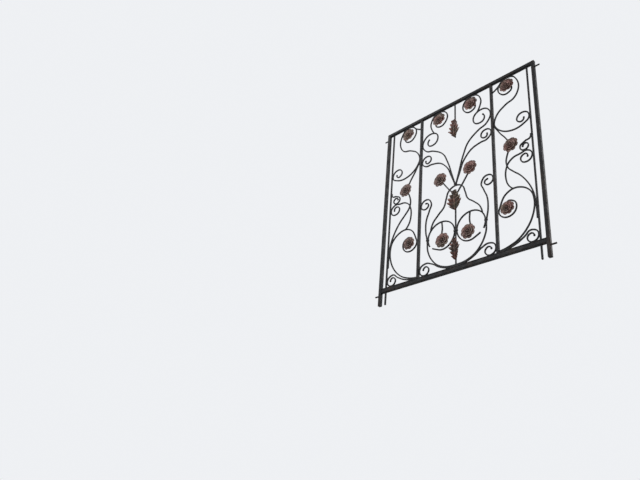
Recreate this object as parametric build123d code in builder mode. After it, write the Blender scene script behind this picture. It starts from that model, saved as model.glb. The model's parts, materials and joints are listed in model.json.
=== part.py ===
from build123d import *
from math import atan2, cos, degrees, radians, sin, sqrt
import os

# Window grille of wrought iron bars with copper rosettes and leaves. Millimetres, +X to the right as seen
# from outside, +Y into the wall, +Z up. The origin is the centre of the left post's foot on the sill.

# Frame
post_spacing = 1400
post_side = 25
grille_height = 1686
inner_post_side = 20
inner_post_offset = 338
side_bar_side = 12
side_bar_gap = 34.5
top_rail_height = 25
bottom_rail_foot = 106
bottom_rail_height = 37
bottom_rail_depth = 25
bead_height = 9
bead_recess = 3

# Wall pins
pin_radius = 6
pin_length = 37.5
lower_pin_drop = 19
upper_pin_drop = 60

# Scroll bars: square bars, bent in short facets, pressed together by the bite where they touch
bar_side = 10
facet_angle = 22
bite = 0.5

# Curls
curl_radius = 54
low_curl_radius = 50
loop_radius = 39
wide_curl_radius = 62
high_curl_radius = 90
ring_radius = 120
rosette_ring_radius = 88
ring_end_radius = 74
foot_ring_radius = 74
curl_end_radius = 16
curl_angle = 440
curl_step_angle = 74

# Rosettes
rosette_radius = 64
petal_count = 8
petal_corners = 4
petal_notch_radius = 54
petal_thickness = 6
petal_chamfer = 2
inner_petal_radius = 43
inner_notch_radius = 37
inner_petal_thickness = 6
boss_radius = 19
boss_sides = 12
boss_height = 9
boss_chamfer = 5

# Leaves
leaf_height = 180
leaf_thickness = 4
leaf_bulge = 16
leaf_belly = 0.6

axis_x = post_spacing / 2
side_bar_offset = (post_spacing - post_side - side_bar_side) / 2 - side_bar_gap
rail_top = bottom_rail_foot + bottom_rail_height
rail_underside = grille_height - top_rail_height
kiss = bar_side - bite
middle_edge = inner_post_offset - inner_post_side / 2
side_near_edge = inner_post_offset + inner_post_side / 2
side_far_edge = side_bar_offset - side_bar_side / 2
lowest_line = rail_top + kiss - bar_side / 2
highest_line = rail_underside - kiss + bar_side / 2
post_line = middle_edge - kiss + bar_side / 2
side_near_line = side_near_edge + kiss - bar_side / 2
side_bar_line = side_far_edge - kiss + bar_side / 2
bar_front = -bar_side / 2
ways = {"left": -1, "right": 1}


def spot(way, offset, height):
    """A point of the elevation: offset from the axis, to the left or the right by the sign of way."""
    return Vector(axis_x + way * offset, height)


def level(share):
    """The height of a bar's centre line, from 0 on the bottom rail to 1 under the top rail."""
    return lowest_line + share * (highest_line - lowest_line)


def middle_bay(way, *shares):
    """Points of the middle bay: shares of the way from the axis to the inner post, and of the height."""
    return [spot(way, out * post_line, level(up)) for out, up in shares]


def side_bay(way, *shares):
    """Points of a side bay: shares of the way from the inner post to the side bar, and of the height."""
    width = side_bar_line - side_near_line
    return [spot(way, side_near_line + out * width, level(up)) for out, up in shares]


def beside(way, eye, reach, angle):
    """The point so far from an eye, at an angle with 0 away from the axis and 90 up."""
    return eye + Vector(way * reach * cos(radians(angle)), reach * sin(radians(angle)))


def inward(way, eye, radius, *steps):
    """Points that lead in from a ring to its eye: shares of the ring's radius, each at an angle."""
    return [beside(way, eye, share * radius, angle) for share, angle in steps]


def curl_reach(radius, turned, turn=curl_angle, end=curl_end_radius, draw=1.5):
    """How far a curl stands from its eye once it has turned by so many degrees."""
    return radius - (radius - end) * (turned / turn) ** draw


def curl(way, eye, radius, start, turn=curl_angle, end=curl_end_radius, draw=1.5):
    """Points of a bar that winds in round its eye from the start angle."""
    steps = round(abs(turn) / curl_step_angle)
    points = []
    for step in range(steps + 1):
        reach = curl_reach(radius, abs(turn) * step / steps, abs(turn), end, draw)
        points.append(beside(way, eye, reach, start + turn * step / steps))
    return points


def across(heading):
    """The direction square to a heading, on its left."""
    return Vector(-heading.Y, heading.X)


def leaving(heading, step):
    """The heading at an arc's far end, from the heading at its near end and the step between."""
    along = step.normalized()
    return along * (2 * along.dot(heading)) - heading


def headings(points):
    """A smooth line's headings at its points, each from the circle through a point and its neighbours."""
    steps = [b - a for a, b in zip(points, points[1:])]
    inner = [(a / a.length**2 + b / b.length**2).normalized() for a, b in zip(steps, steps[1:])]
    return [leaving(inner[0], steps[0]), *inner, leaving(inner[-1], steps[-1])]


def meeting_point(a, heading_a, b, heading_b):
    """Where two arcs meet that lead from one point and heading to another without a kink."""
    step = b - a
    both = heading_a + heading_b
    turn = 2 - 2 * heading_a.dot(heading_b)
    if turn < 1e-6:
        reach = step.dot(step) / (4 * step.dot(heading_b))
    else:
        reach = (sqrt(step.dot(both) ** 2 + turn * step.dot(step)) - step.dot(both)) / turn
    return (a + b + (heading_a - heading_b) * reach) / 2


def facets(a, heading, b):
    """Corners with their headings on the arc that leaves a on the heading and ends at b, without b."""
    step = b - a
    half_turn = degrees(atan2(across(heading).dot(step), heading.dot(step)))
    count = max(1, round(2 * abs(half_turn) / facet_angle))
    corners = [(a, heading)]
    for n in range(1, count):
        turned = half_turn * n / count
        reach = step.length * sin(radians(turned)) / sin(radians(half_turn))
        corners.append((a + heading.rotate(Axis.Z, turned) * reach, heading.rotate(Axis.Z, 2 * turned)))
    return corners


def bar(points):
    """The flat outline of a scroll bar on the smooth line through the points."""
    ends = headings(points)
    corners = []
    for a, b, heading_a, heading_b in zip(points, points[1:], ends, ends[1:]):
        middle = meeting_point(a, heading_a, b, heading_b)
        corners += facets(a, heading_a, middle)
        corners += facets(middle, leaving(heading_a, middle - a), b)
    corners.append((points[-1], ends[-1]))
    left = [point + across(heading) * bar_side / 2 for point, heading in corners]
    right = [point - across(heading) * bar_side / 2 for point, heading in corners]
    with BuildSketch() as outline:
        with BuildLine():
            Polyline(*left, *reversed(right), close=True)
        make_face()
    return outline.sketch


def upright(offset, foot, head, width=bar_side):
    """The flat outline of a straight upright."""
    with BuildSketch() as outline:
        with Locations((axis_x + offset, foot)):
            Rectangle(width, head - foot, align=(Align.CENTER, Align.MIN))
    return outline.sketch


def clear_bay(near, far):
    """The clear outline of a bay between the rails, from one offset to another."""
    return upright((near + far) / 2, rail_top, rail_underside, abs(far - near))


def scrollwork(shapes, bay, touching=()):
    """The outline of one fused piece: its bars, filed flat at the edges of the bay and where pieces touch."""
    with BuildSketch() as outline:
        add(shapes)
        add(bay, mode=Mode.INTERSECT)
        if touching:
            add(touching, mode=Mode.SUBTRACT)
    return outline.sketch


def save(piece, name):
    """Labels a finished piece and writes its file."""
    piece.part.label = name
    export_step(piece.part, f"parts/{name}.step")


def save_bars(outline, name):
    """Gives a flat outline the thickness of the scroll bars."""
    with BuildPart() as piece:
        with BuildSketch(Plane.XZ):
            add(outline)
        extrude(amount=bar_side / 2, both=True)
    save(piece, name)


os.makedirs("parts", exist_ok=True)

# Outer posts, from the sill to the top
for side, way in ways.items():
    with BuildPart() as post:
        with BuildSketch():
            with Locations((axis_x + way * post_spacing / 2, 0)):
                Rectangle(post_side, post_side)
        extrude(amount=grille_height)
    save(post, f"{side}_post")

# Top rail between the outer posts
rail_length = post_spacing - post_side
with BuildPart() as top_rail:
    with BuildSketch(Plane.XY.offset(rail_underside)):
        with Locations((axis_x, 0)):
            Rectangle(rail_length, post_side)
    extrude(amount=top_rail_height)
save(top_rail, "top_rail")

# Bottom rail: a flat bar with a round bead along both front edges, pierced for the side bars
with BuildPart() as bottom_rail:
    with BuildSketch(Plane.YZ.offset(axis_x)):
        with Locations((bead_recess / 2, bottom_rail_foot + bottom_rail_height / 2)):
            Rectangle(bottom_rail_depth - bead_recess, bottom_rail_height)
        for bead in (bottom_rail_foot + bead_height / 2, rail_top - bead_height / 2):
            with Locations((bead_height / 2 - bottom_rail_depth / 2, bead)):
                Circle(bead_height / 2)
    extrude(amount=rail_length / 2, both=True)
    with BuildSketch(Plane.XY.offset(bottom_rail_foot)):
        for way in ways.values():
            with Locations((axis_x + way * side_bar_offset, 0)):
                Rectangle(side_bar_side, side_bar_side)
    extrude(amount=bottom_rail_height, mode=Mode.SUBTRACT)
save(bottom_rail, "bottom_rail")

# Inner posts on the bottom rail, and the side bars that run through it to the sill
for side, way in ways.items():
    with BuildPart() as inner_post:
        with BuildSketch(Plane.XY.offset(rail_top)):
            with Locations((axis_x + way * inner_post_offset, 0)):
                Rectangle(inner_post_side, inner_post_side)
        extrude(amount=rail_underside - rail_top)
    save(inner_post, f"{side}_inner_post")
    with BuildPart() as side_bar:
        with BuildSketch():
            with Locations((axis_x + way * side_bar_offset, 0)):
                Rectangle(side_bar_side, side_bar_side)
        extrude(amount=rail_underside)
    save(side_bar, f"{side}_side_bar")

# Wall pins from the outer posts into the jambs
for side, way in ways.items():
    with BuildPart() as pins:
        for pin_height in (bottom_rail_foot - lower_pin_drop, grille_height - upper_pin_drop):
            outer_face = (axis_x + way * (post_spacing + post_side) / 2, 0, pin_height)
            with BuildSketch(Plane(outer_face, z_dir=(way, 0, 0))):
                Circle(pin_radius)
            extrude(amount=pin_length)
    save(pins, f"{side}_wall_pins")


# Middle bay, each line from the axis outwards
ring_offset = ring_radius + kiss
ring_level = level(0.193)
tulip_head = (0, 0.459)
high_eye_share = 0.823
high_end_radius = 32
high_curl_angle = 400
crown_root_angle = 112


def mirrored(line):
    """The points of a line that crosses the axis, from its left end to its right end."""
    return [*reversed(line(-1)), *line(1)[1:]]


def base_line(way):
    """The low scroll along the bottom rail, curled against the rail and the inner post."""
    lift = curl_reach(curl_radius, 190)
    eye = spot(way, post_line - curl_reach(curl_radius, 100), lowest_line + lift)
    foot = middle_bay(way, (0, 0), (0.23, 0.004), (0.44, 0.021), (0.66, 0.052))
    return foot + curl(way, eye, curl_radius, 100, -curl_angle)


def lyre_line(way):
    """The large lyre, round the rings and up to a curl against the inner post."""
    foot = [spot(way, 0, lowest_line + kiss)]
    foot += middle_bay(way, (0.257, 0.011), (0.467, 0.031), (0.654, 0.072), (0.768, 0.125))
    beside_ring = [spot(way, ring_offset + ring_radius + kiss, ring_level)]
    arm = middle_bay(way, (0.846, 0.25), (0.83, 0.32), (0.755, 0.365))
    eye = spot(way, post_line - curl_reach(curl_radius, 180), level(0.41))
    return foot + beside_ring + arm + curl(way, eye, curl_radius, 180, -curl_angle)


def ring_line(way):
    """The ring between the axis bar and the lyre, open at its lower outer side."""
    tail = middle_bay(way, (0.53, 0.124), (0.64, 0.136))
    return curl(way, ring_eye(way), ring_radius, -30, 300, ring_radius) + tail


def ring_eye(way):
    """The centre of a ring, which rests against the axis bar."""
    return spot(way, ring_offset, ring_level)


def tendril_line(way):
    """The short bar from the top of the ring down to the rosette inside it."""
    root = beside(way, ring_eye(way), ring_radius, 92)
    return [root, *middle_bay(way, (0.369, 0.23), (0.383, 0.195), (0.346, 0.16))]


def tulip_line(way):
    """The tulip frame, from its round head on the axis down to the side of the ring."""
    head = middle_bay(way, tulip_head, (0.093, 0.455), (0.201, 0.437), (0.262, 0.4))
    side = middle_bay(way, (0.327, 0.355), (0.491, 0.32), (0.635, 0.285))
    return head + side + [beside(way, ring_eye(way), ring_radius, 36)]


def flower_stem_line(way):
    """The stem that crosses the head of the tulip and carries a rosette."""
    return middle_bay(way, (0, 0.41), (0.14, 0.438), (0.257, 0.473), (0.42, 0.529))


def high_line(way):
    """The high scroll, from the head of the tulip to a wide curl against the inner post."""
    rise = middle_bay(way, tulip_head, (0.093, 0.53), (0.21, 0.62), (0.38, 0.7), (0.65, 0.745))
    turn = curl(way, high_eye(way), high_curl_radius, 0, high_curl_angle, high_end_radius, 1)
    return rise + middle_bay(way, (0.888, 0.768)) + turn


def high_eye(way):
    """The eye of the high scroll's wide curl."""
    return spot(way, post_line - high_curl_radius, level(high_eye_share))


def spray_line(way):
    """The lower spray beside the high scroll."""
    eye = spot(way, post_line - curl_reach(curl_radius, 75), level(0.698))
    rise = middle_bay(way, tulip_head, (0.103, 0.52), (0.257, 0.6), (0.467, 0.645), (0.701, 0.66))
    return rise + curl(way, eye, curl_radius, -75)


def crown_line(way):
    """The crown spiral, from the high scroll's curl round its rosette under the top rail."""
    reach = curl_reach(high_curl_radius, crown_root_angle, high_curl_angle, high_end_radius, 1)
    root = beside(way, high_eye(way), reach, crown_root_angle)
    eye = spot(way, 0.477 * post_line, 0) + Vector(0, rosette_level)
    return [root, *middle_bay(way, (0.7, 0.892)), *rosette_ring(way, eye)]


def rosette_ring(way, eye):
    """A ring against the top rail that winds in to the rosette at its eye."""
    ring = curl(way, eye, rosette_ring_radius, 0, 270, ring_end_radius, 1)
    return ring + inward(way, eye, rosette_ring_radius, (0.65, 310), (0.3, 345)) + [eye]


rosette_level = highest_line - curl_reach(rosette_ring_radius, 90, 270, ring_end_radius, 1)


# Side bays, each line from the inner post outwards
middle_rosette = (0.454, 0.558)
tall_turn = (0, 0.73)


def low_line(way):
    """The low scroll from the foot of the inner post, curled against the bottom rail and the side bar."""
    lift = curl_reach(low_curl_radius, 180)
    eye = spot(way, side_bar_line - curl_reach(low_curl_radius, 90), lowest_line + lift)
    foot = side_bay(way, (-0.05, 0), (0.086, 0.001), (0.272, 0.006), (0.459, 0.018), (0.619, 0.035))
    return foot + curl(way, eye, low_curl_radius, 90, -curl_angle)


def foot_spiral_line(way):
    """The large spiral from the foot of the inner post round the lowest rosette."""
    foot = side_bay(way, (-0.05, 0.004), (0.086, 0.006), (0.272, 0.015), (0.459, 0.03), (0.619, 0.053))
    rise = side_bay(way, (0.806, 0.097), (0.918, 0.147), (0.958, 0.2), (0.886, 0.26), (0.672, 0.298))
    turn = side_bay(way, (0.432, 0.308), (0.22, 0.29))
    eye = side_bay(way, (0.267, 0.212))[0]
    ring = curl(way, eye, foot_ring_radius, 135, 270, foot_ring_radius - bar_side, 1)
    return foot + rise + turn + ring + inward(way, eye, foot_ring_radius, (0.72, 95), (0.4, 120)) + [eye]


def stem_line(way):
    """The flower stem, from the side bar across the bay to the middle rosette."""
    rise = side_bay(way, (1, 0.11), (1, 0.16), (0.987, 0.21), (0.928, 0.265), (0.806, 0.32))
    turn = side_bay(way, (0.646, 0.367), (0.459, 0.405), (0.342, 0.432), (0.288, 0.47), (0.326, 0.51))
    return rise + turn + side_bay(way, middle_rosette)


def leaf_scroll_line(way):
    """The scroll from the top of the large spiral, across the stem, to a curl against the side bar."""
    rise = side_bay(way, (0.432, 0.308), (0.32, 0.335), (0.256, 0.38), (0.267, 0.425), (0.352, 0.463))
    head = side_bay(way, (0.512, 0.484), (0.672, 0.488))
    return rise + head + curl(way, leaf_eye(way), curl_radius, 75, -curl_angle)


def leaf_eye(way):
    """The eye of the leaf scroll's curl, which rests against the side bar."""
    return spot(way, side_bar_line - curl_reach(curl_radius, 75), level(0.458))


def loop_line(way):
    """The small loop from the side bar, seated on the leaf scroll's curl."""
    lift = curl_radius + kiss + curl_reach(loop_radius, 180)
    eye = leaf_eye(way) + Vector(0, lift)
    return side_bay(way, (1, 0.578), (0.985, 0.56)) + curl(way, eye, loop_radius, 90)


def tall_line(way):
    """The tall spiral, from the middle rosette past the inner post and round the top rosette."""
    rise = side_bay(way, middle_rosette, (0.326, 0.61), (0.13, 0.67), tall_turn, (0.107, 0.79))
    head = side_bay(way, (0.352, 0.825), (0.63, 0.847), (0.75, 0.885))
    return rise + head + rosette_ring(way, top_eye(way))


def top_eye(way):
    """The centre of the top rosette of a side bay."""
    return Vector(side_bay(way, (0.438, 0))[0].X, rosette_level)


def strut_line(way):
    """The short strut from the inner post to the head of the tall spiral."""
    end = beside(way, top_eye(way), curl_reach(rosette_ring_radius, 128, 270, ring_end_radius, 1), 128)
    return side_bay(way, (-0.05, 0.944), (0.086, 0.956)) + [end]


def upcurl_line(way):
    """The wide curl that springs from the tall spiral at the inner post and ends against the side bar."""
    eye = spot(way, side_bar_line - curl_reach(wide_curl_radius, 90), level(0.695))
    return side_bay(way, tall_turn, (0.13, 0.685), (0.352, 0.655)) + curl(way, eye, wide_curl_radius, -90)


middle = clear_bay(-middle_edge, middle_edge)
low_axis = upright(0, rail_top, level(0.41))
top_axis = upright(0, level(0.77), rail_underside)
base = scrollwork([bar(mirrored(base_line))], middle)
lyre = scrollwork([bar(mirrored(lyre_line))], middle, [base])
low_axis = scrollwork([low_axis], middle, [base, lyre])
save_bars(base, "base_scroll")
save_bars(lyre, "lyre_scroll")
save_bars(top_axis, "top_axis_bar")

rings = []
for side, way in ways.items():
    half = clear_bay(0, way * middle_edge)
    rings.append(scrollwork([bar(ring_line(way)), bar(tendril_line(way))], half, [lyre, low_axis]))
    save_bars(rings[-1], f"{side}_ring_scroll")

tulip_bars = [bar(mirrored(line)) for line in (tulip_line, flower_stem_line)]
tulip = scrollwork(tulip_bars, middle, [lyre, low_axis, *rings])
save_bars(low_axis, "lower_axis_bar")
save_bars(tulip, "tulip_frame")

for side, way in ways.items():
    half = clear_bay(0, way * middle_edge)
    high = scrollwork([bar(high_line(way)), bar(spray_line(way))], half, [tulip])
    crown = scrollwork([bar(crown_line(way))], half, [high])
    save_bars(high, f"{side}_high_scroll")
    save_bars(crown, f"{side}_crown_spiral")

    outer = clear_bay(way * side_near_edge, way * side_far_edge)
    stem = scrollwork([bar(stem_line(way)), bar(leaf_scroll_line(way))], outer)
    foot = scrollwork([bar(low_line(way)), bar(foot_spiral_line(way))], outer, [stem])
    loop = scrollwork([bar(loop_line(way))], outer, [stem])
    tall = scrollwork([bar(tall_line(way)), bar(strut_line(way)), bar(upcurl_line(way))], outer, [stem])
    save_bars(stem, f"{side}_stem")
    save_bars(foot, f"{side}_foot_scrolls")
    save_bars(loop, f"{side}_loop")
    save_bars(tall, f"{side}_tall_spiral")


def petals(tip, notch):
    """The flat outline of a ring of petals, each a half wave between two notches."""
    corners = []
    for corner in range(petal_count * petal_corners):
        reach = notch + (tip - notch) * abs(sin(radians(180 * corner / petal_corners)))
        turn = 360 / petal_count * (corner / petal_corners - 0.5)
        corners.append(Vector(reach, 0).rotate(Axis.Z, turn))
    with BuildSketch() as outline:
        with BuildLine():
            Polyline(*corners, close=True)
        make_face()
    return outline.sketch


# Rosettes in mirrored pairs, seated on the fronts of the bar ends
rosette_places = {
    "ring_rosettes": tendril_line(1)[-1],
    "stem_rosettes": flower_stem_line(1)[-1],
    "crown_rosettes": crown_line(1)[-1],
    "foot_rosettes": foot_spiral_line(1)[-1],
    "side_rosettes": stem_line(1)[-1],
    "top_rosettes": tall_line(1)[-1],
}
with BuildSketch() as boss_outline:
    RegularPolygon(boss_radius, boss_sides)
rosette_layers = (
    (petals(rosette_radius, petal_notch_radius), petal_thickness, petal_chamfer),
    (petals(inner_petal_radius, inner_notch_radius), inner_petal_thickness, petal_chamfer),
    (boss_outline.sketch, boss_height, boss_chamfer),
)
for name, centre in rosette_places.items():
    with BuildPart() as rosettes:
        for way in ways.values():
            place = (axis_x + way * (centre.X - axis_x), bar_front, centre.Y)
            seat = Plane(place, x_dir=(1, 0, 0), z_dir=(0, -1, 0))
            for outline, thickness, bevel in rosette_layers:
                with BuildSketch(seat):
                    add(outline)
                extrude(amount=thickness)
                chamfer(rosettes.edges(Select.LAST).group_by(Axis.Y)[0], bevel)
                seat = seat.offset(thickness)
    save(rosettes, name)

# Leaves on the axis bars: tips and notches of one edge, as shares of the leaf's height
lower_edge = (0.05, 0), (0.16, 0.1), (0.1, 0.2), (0.2, 0.32), (0.11, 0.42), (0.21, 0.62), (0.09, 0.72)
skirt_edge = (0.2, 0), (0.33, 0.1), (0.17, 0.22), (0.25, 0.36), (0.12, 0.46), (0.18, 0.6), (0.08, 0.7)
top_edge = (0.05, 0), (0.12, 0.12), (0.27, 0.2), (0.13, 0.32), (0.2, 0.48), (0.09, 0.58), (0.12, 0.72)
leaves = {"lower_leaf": (0.03, lower_edge), "middle_leaf": (0.31, skirt_edge), "top_leaf": (0.77, top_edge)}
for name, (foot_share, edge) in leaves.items():
    foot = level(foot_share)
    with BuildPart() as leaf:
        with BuildSketch(Plane.XZ):
            with BuildLine():
                right = [Vector(axis_x + out * leaf_height, foot + up * leaf_height) for out, up in edge]
                left = [Vector(axis_x - out * leaf_height, foot + up * leaf_height) for out, up in edge]
                Polyline(*right, (axis_x, foot + leaf_height), *reversed(left), close=True)
            make_face()
        extrude(amount=bar_side + leaf_bulge + leaf_thickness)
        with BuildSketch(Plane.YZ.offset(axis_x)):
            with BuildLine():
                belly = (bar_front - leaf_bulge, foot + leaf_belly * leaf_height)
                tip = (bar_front - leaf_bulge / 2, foot + leaf_height)
                back = ThreePointArc((bar_front, foot), belly, tip)
                face = ThreePointArc(*[back @ share - Vector(leaf_thickness, 0) for share in (0, 0.5, 1)])
                Line(back @ 0, face @ 0)
                Line(back @ 1, face @ 1)
            make_face()
        extrude(amount=leaf_height, both=True, mode=Mode.INTERSECT)
    save(leaf, name)
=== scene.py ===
import json
import logging
import math
from dataclasses import dataclass, field, replace
from enum import Enum
from typing import Callable, Iterable

import bmesh
import bpy
from mathutils import Matrix, Vector


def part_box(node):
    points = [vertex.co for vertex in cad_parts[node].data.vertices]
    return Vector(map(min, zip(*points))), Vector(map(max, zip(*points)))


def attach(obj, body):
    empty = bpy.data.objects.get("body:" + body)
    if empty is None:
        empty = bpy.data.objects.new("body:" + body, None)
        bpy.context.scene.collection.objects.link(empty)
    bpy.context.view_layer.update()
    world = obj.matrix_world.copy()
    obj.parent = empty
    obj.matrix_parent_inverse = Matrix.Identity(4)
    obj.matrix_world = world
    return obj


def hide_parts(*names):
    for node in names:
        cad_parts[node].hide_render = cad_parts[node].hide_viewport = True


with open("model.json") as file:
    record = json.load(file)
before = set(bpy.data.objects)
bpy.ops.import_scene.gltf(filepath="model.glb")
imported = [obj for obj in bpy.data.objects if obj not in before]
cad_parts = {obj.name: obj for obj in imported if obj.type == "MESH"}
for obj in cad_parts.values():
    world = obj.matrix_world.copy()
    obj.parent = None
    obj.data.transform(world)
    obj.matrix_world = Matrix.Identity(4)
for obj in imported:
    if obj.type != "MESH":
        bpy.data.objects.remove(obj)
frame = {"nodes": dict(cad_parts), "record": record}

log = logging.getLogger("grille")

Colour = tuple[float, float, float]
Place = tuple[float, float, float]
Share = tuple[float, float]
Socket = bpy.types.NodeSocket
Settings = dict[str, object]


class Side(Enum):
    """The two mirrored halves of the grille, as seen from outside."""

    LEFT = -1
    RIGHT = 1

    @property
    def word(self) -> str:
        """The side's name as the nodes spell it."""
        return self.name.lower()


class End(Enum):
    """How a bar's end is forged, as its thickness against the stock."""

    PLAIN = 1.0
    TAPERED = 0.6
    KNOBBED = 1.3


class Slot(Enum):
    """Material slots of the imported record."""

    FRAME = "frame_iron"
    SCROLL = "scroll_iron"
    PIN = "pin_iron"
    ROSETTE = "rosette_copper"
    LEAF = "leaf_copper"


class Wiring:
    """A node tree under construction, with short calls for what every tree needs."""

    def __init__(self, tree: bpy.types.NodeTree) -> None:
        """Takes up a tree.

        Args:
            tree: The tree, empty or begun.
        """
        self.tree = tree

    def feed(self, socket: Socket, value: object) -> None:
        """Links a socket to an input, or sets the input's value.

        Args:
            socket: The input.
            value: Another node's socket, or a plain value.
        """
        if isinstance(value, Socket):
            self.tree.links.new(value, socket)
        else:
            socket.default_value = value

    def put(self, kind: str, settings: Settings | None = None, **inputs: object) -> bpy.types.Node:
        """Adds a node, sets its options and fills its inputs.

        Args:
            kind: The node's type.
            settings: Options of the node itself.
            inputs: Values or sockets by input name, with underscores for spaces.

        Returns:
            The new node.
        """
        node = self.tree.nodes.new(kind)
        for key, value in (settings or {}).items():
            setattr(node, key, value)
        for key, value in inputs.items():
            name = key.replace("_", " ")
            self.feed(next(one for one in node.inputs if one.name == name and one.enabled), value)
        return node

    def get(self, kind: str, settings: Settings | None = None, **inputs: object) -> Socket:
        """Adds a node as put does, and gives its first output."""
        return self.put(kind, settings, **inputs).outputs[0]

    def in_order(self, kind: str, settings: Settings, *values: object) -> Socket:
        """Adds a node whose inputs are filled in their order, because they share a name.

        Args:
            kind: The node's type.
            settings: Options of the node itself.
            values: Values or sockets for its first inputs.

        Returns:
            The node's first output.
        """
        node = self.put(kind, settings)
        for socket, value in zip(node.inputs, values):
            self.feed(socket, value)
        return node.outputs[0]

    def maths(self, operation: str, first: object, second: object = 0.0) -> Socket:
        """One arithmetic step between two values."""
        return self.in_order("ShaderNodeMath", {"operation": operation}, first, second)


# Finishes


@dataclass(frozen=True)
class Drift:
    """A value that drifts over a surface: its noise, the range of the noise that counts, and its ends."""

    scale: float
    detail: float
    low: float
    high: float
    bottom: float = 0.0
    top: float = 1.0
    stretch: Place = (1, 1, 1)


@dataclass(frozen=True)
class Grain:
    """Small bumps on a surface: their noise and their depth in metres."""

    scale: float
    detail: float
    depth: float


class ShaderSheet(Wiring):
    """One material under construction, with short calls for the nodes that the finishes share."""

    def __init__(self, name: str) -> None:
        """Starts a node material.

        Args:
            name: The material's name.
        """
        self.material = bpy.data.materials.new(name)
        self.material.use_nodes = True
        super().__init__(self.material.node_tree)
        self.surface = self.tree.nodes["Principled BSDF"]
        self.place = self.put("ShaderNodeTexCoord")

    def speckle(self, scale: float, detail: float, stretch: Place = (1, 1, 1)) -> Socket:
        """Noise over the piece's own coordinates.

        Args:
            scale: Features per metre.
            detail: Octaves of finer noise.
            stretch: Scale along each axis.

        Returns:
            The noise factor.
        """
        spot = self.get("ShaderNodeMapping", Vector=self.place.outputs["Object"], Scale=stretch)
        return self.get("ShaderNodeTexNoise", Vector=spot, Scale=scale, Detail=detail, Roughness=0.6)

    def band(self, value: Socket, low: float, high: float, bottom: float = 0, top: float = 1) -> Socket:
        """Maps a range of a value onto another range, held at both ends.

        Args:
            value: The incoming value.
            low: Value that gives bottom.
            high: Value that gives top.
            bottom: Result at low.
            top: Result at high.

        Returns:
            The mapped value.
        """
        ends = {"From_Min": low, "From_Max": high, "To_Min": bottom, "To_Max": top}
        return self.get("ShaderNodeMapRange", Value=value, **ends)

    def drift(self, drift: Drift) -> Socket:
        """Noise as a value between two ends."""
        noise = self.speckle(drift.scale, drift.detail, drift.stretch)
        return self.band(noise, drift.low, drift.high, drift.bottom, drift.top)

    def blend(self, share: Socket, under: Socket | Colour, over: Socket | Colour) -> Socket:
        """Mixes two colours.

        Args:
            share: How much of the second colour shows.
            under: The first colour.
            over: The second colour.

        Returns:
            The mixed colour.
        """
        node = self.put("ShaderNodeMix", {"data_type": "RGBA"})
        for name, item in (("Factor_Float", share), ("A_Color", under), ("B_Color", over)):
            socket = next(one for one in node.inputs if one.identifier == name)
            self.feed(socket, (*item, 1) if isinstance(item, tuple) else item)
        return next(one for one in node.outputs if one.identifier == "Result_Color")

    def facing(self, axis: str) -> Socket:
        """How far the surface faces along one of the piece's own axes."""
        return self.put("ShaderNodeSeparateXYZ", Vector=self.place.outputs["Normal"]).outputs[axis]

    def relief(self, grain: Grain, **under: Socket) -> Socket:
        """Bumps, which may lie on the normal of coarser ones, given as Normal."""
        height = self.speckle(grain.scale, grain.detail)
        return self.get("ShaderNodeBump", Height=height, Distance=grain.depth, Strength=1.0, **under)

    def dressed(self, **sockets: object) -> bpy.types.Material:
        """Fills the shader's own sockets.

        Args:
            sockets: Values or sockets by name, with underscores for spaces.

        Returns:
            The finished material.
        """
        for name, value in sockets.items():
            self.feed(self.surface.inputs[name.replace("_", " ")], value)
        return self.material


@dataclass(frozen=True)
class IronPaint:
    """Old near-black paint over forged iron, with brown bloom, bare arrises that are also a painted
    highlight, and settled dust.
    """

    name: str
    coat: Colour = (0.0055, 0.0062, 0.0075)
    faded: Colour = (0.009, 0.0095, 0.0105)
    fading: Drift = Drift(9, 5, 0.4, 0.66)
    bloom: Colour = (0.035, 0.019, 0.012)
    bloom_share: float = 0.5
    rust: Drift = Drift(34, 8, 0.55, 0.72)
    drips: Drift = Drift(16, 6, 0.52, 0.74, stretch=(1, 1, 0.12))
    # Bare iron along worn arrises, made light enough to serve also as a painted highlight on the edges.
    bare: Colour = (0.08, 0.064, 0.052)
    wear: Drift = Drift(60, 6, 0.5, 0.66, top=0.75)
    arris_from: Share = (0.25, 0.5)
    arris_to: Share = (0.8, 0.97)
    dust: Colour = (0.035, 0.033, 0.03)
    dust_from: float = 0.55
    dust_share: float = 0.5
    gloss: float = 0.12
    roughness: Drift = Drift(26, 6, 0.3, 0.7, 0.42, 0.66)
    hammer: Grain = Grain(70, 1, 0.001)
    grit: Grain = Grain(420, 3, 0.00015)

    def arris(self, sheet: ShaderSheet) -> Socket:
        """Where the surface turns from front to side, as along the soft edges of the bars.

        Args:
            sheet: The material.

        Returns:
            1 on the arrises and 0 on the flats.
        """
        lean = sheet.maths("ABSOLUTE", sheet.facing("Y"))
        rise = sheet.band(lean, *self.arris_from)
        fall = sheet.band(lean, *self.arris_to, 1, 0)
        return sheet.maths("MULTIPLY", rise, fall)

    def material(self) -> bpy.types.Material:
        """Builds the finish.

        Returns:
            The node material.
        """
        sheet = ShaderSheet(self.name)
        colour = sheet.blend(sheet.drift(self.fading), self.coat, self.faded)
        rust = sheet.drift(replace(self.rust, top=self.bloom_share))
        drips = sheet.drift(replace(self.drips, top=self.bloom_share))
        colour = sheet.blend(sheet.maths("MAXIMUM", rust, drips), colour, self.bloom)
        # Worn bare arrises, which also paint a highlight along the bars' edges.
        worn_and_highlit = sheet.maths("MULTIPLY", self.arris(sheet), sheet.drift(self.wear))
        colour = sheet.blend(worn_and_highlit, colour, self.bare)
        upward = sheet.band(sheet.facing("Z"), self.dust_from, 1)
        colour = sheet.blend(sheet.maths("MULTIPLY", upward, self.dust_share), colour, self.dust)
        return sheet.dressed(
            Base_Color=colour,
            Roughness=sheet.drift(self.roughness),
            Metallic=0.0,
            Specular_IOR_Level=self.gloss,
            Normal=sheet.relief(self.grit, Normal=sheet.relief(self.hammer)),
        )


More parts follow.
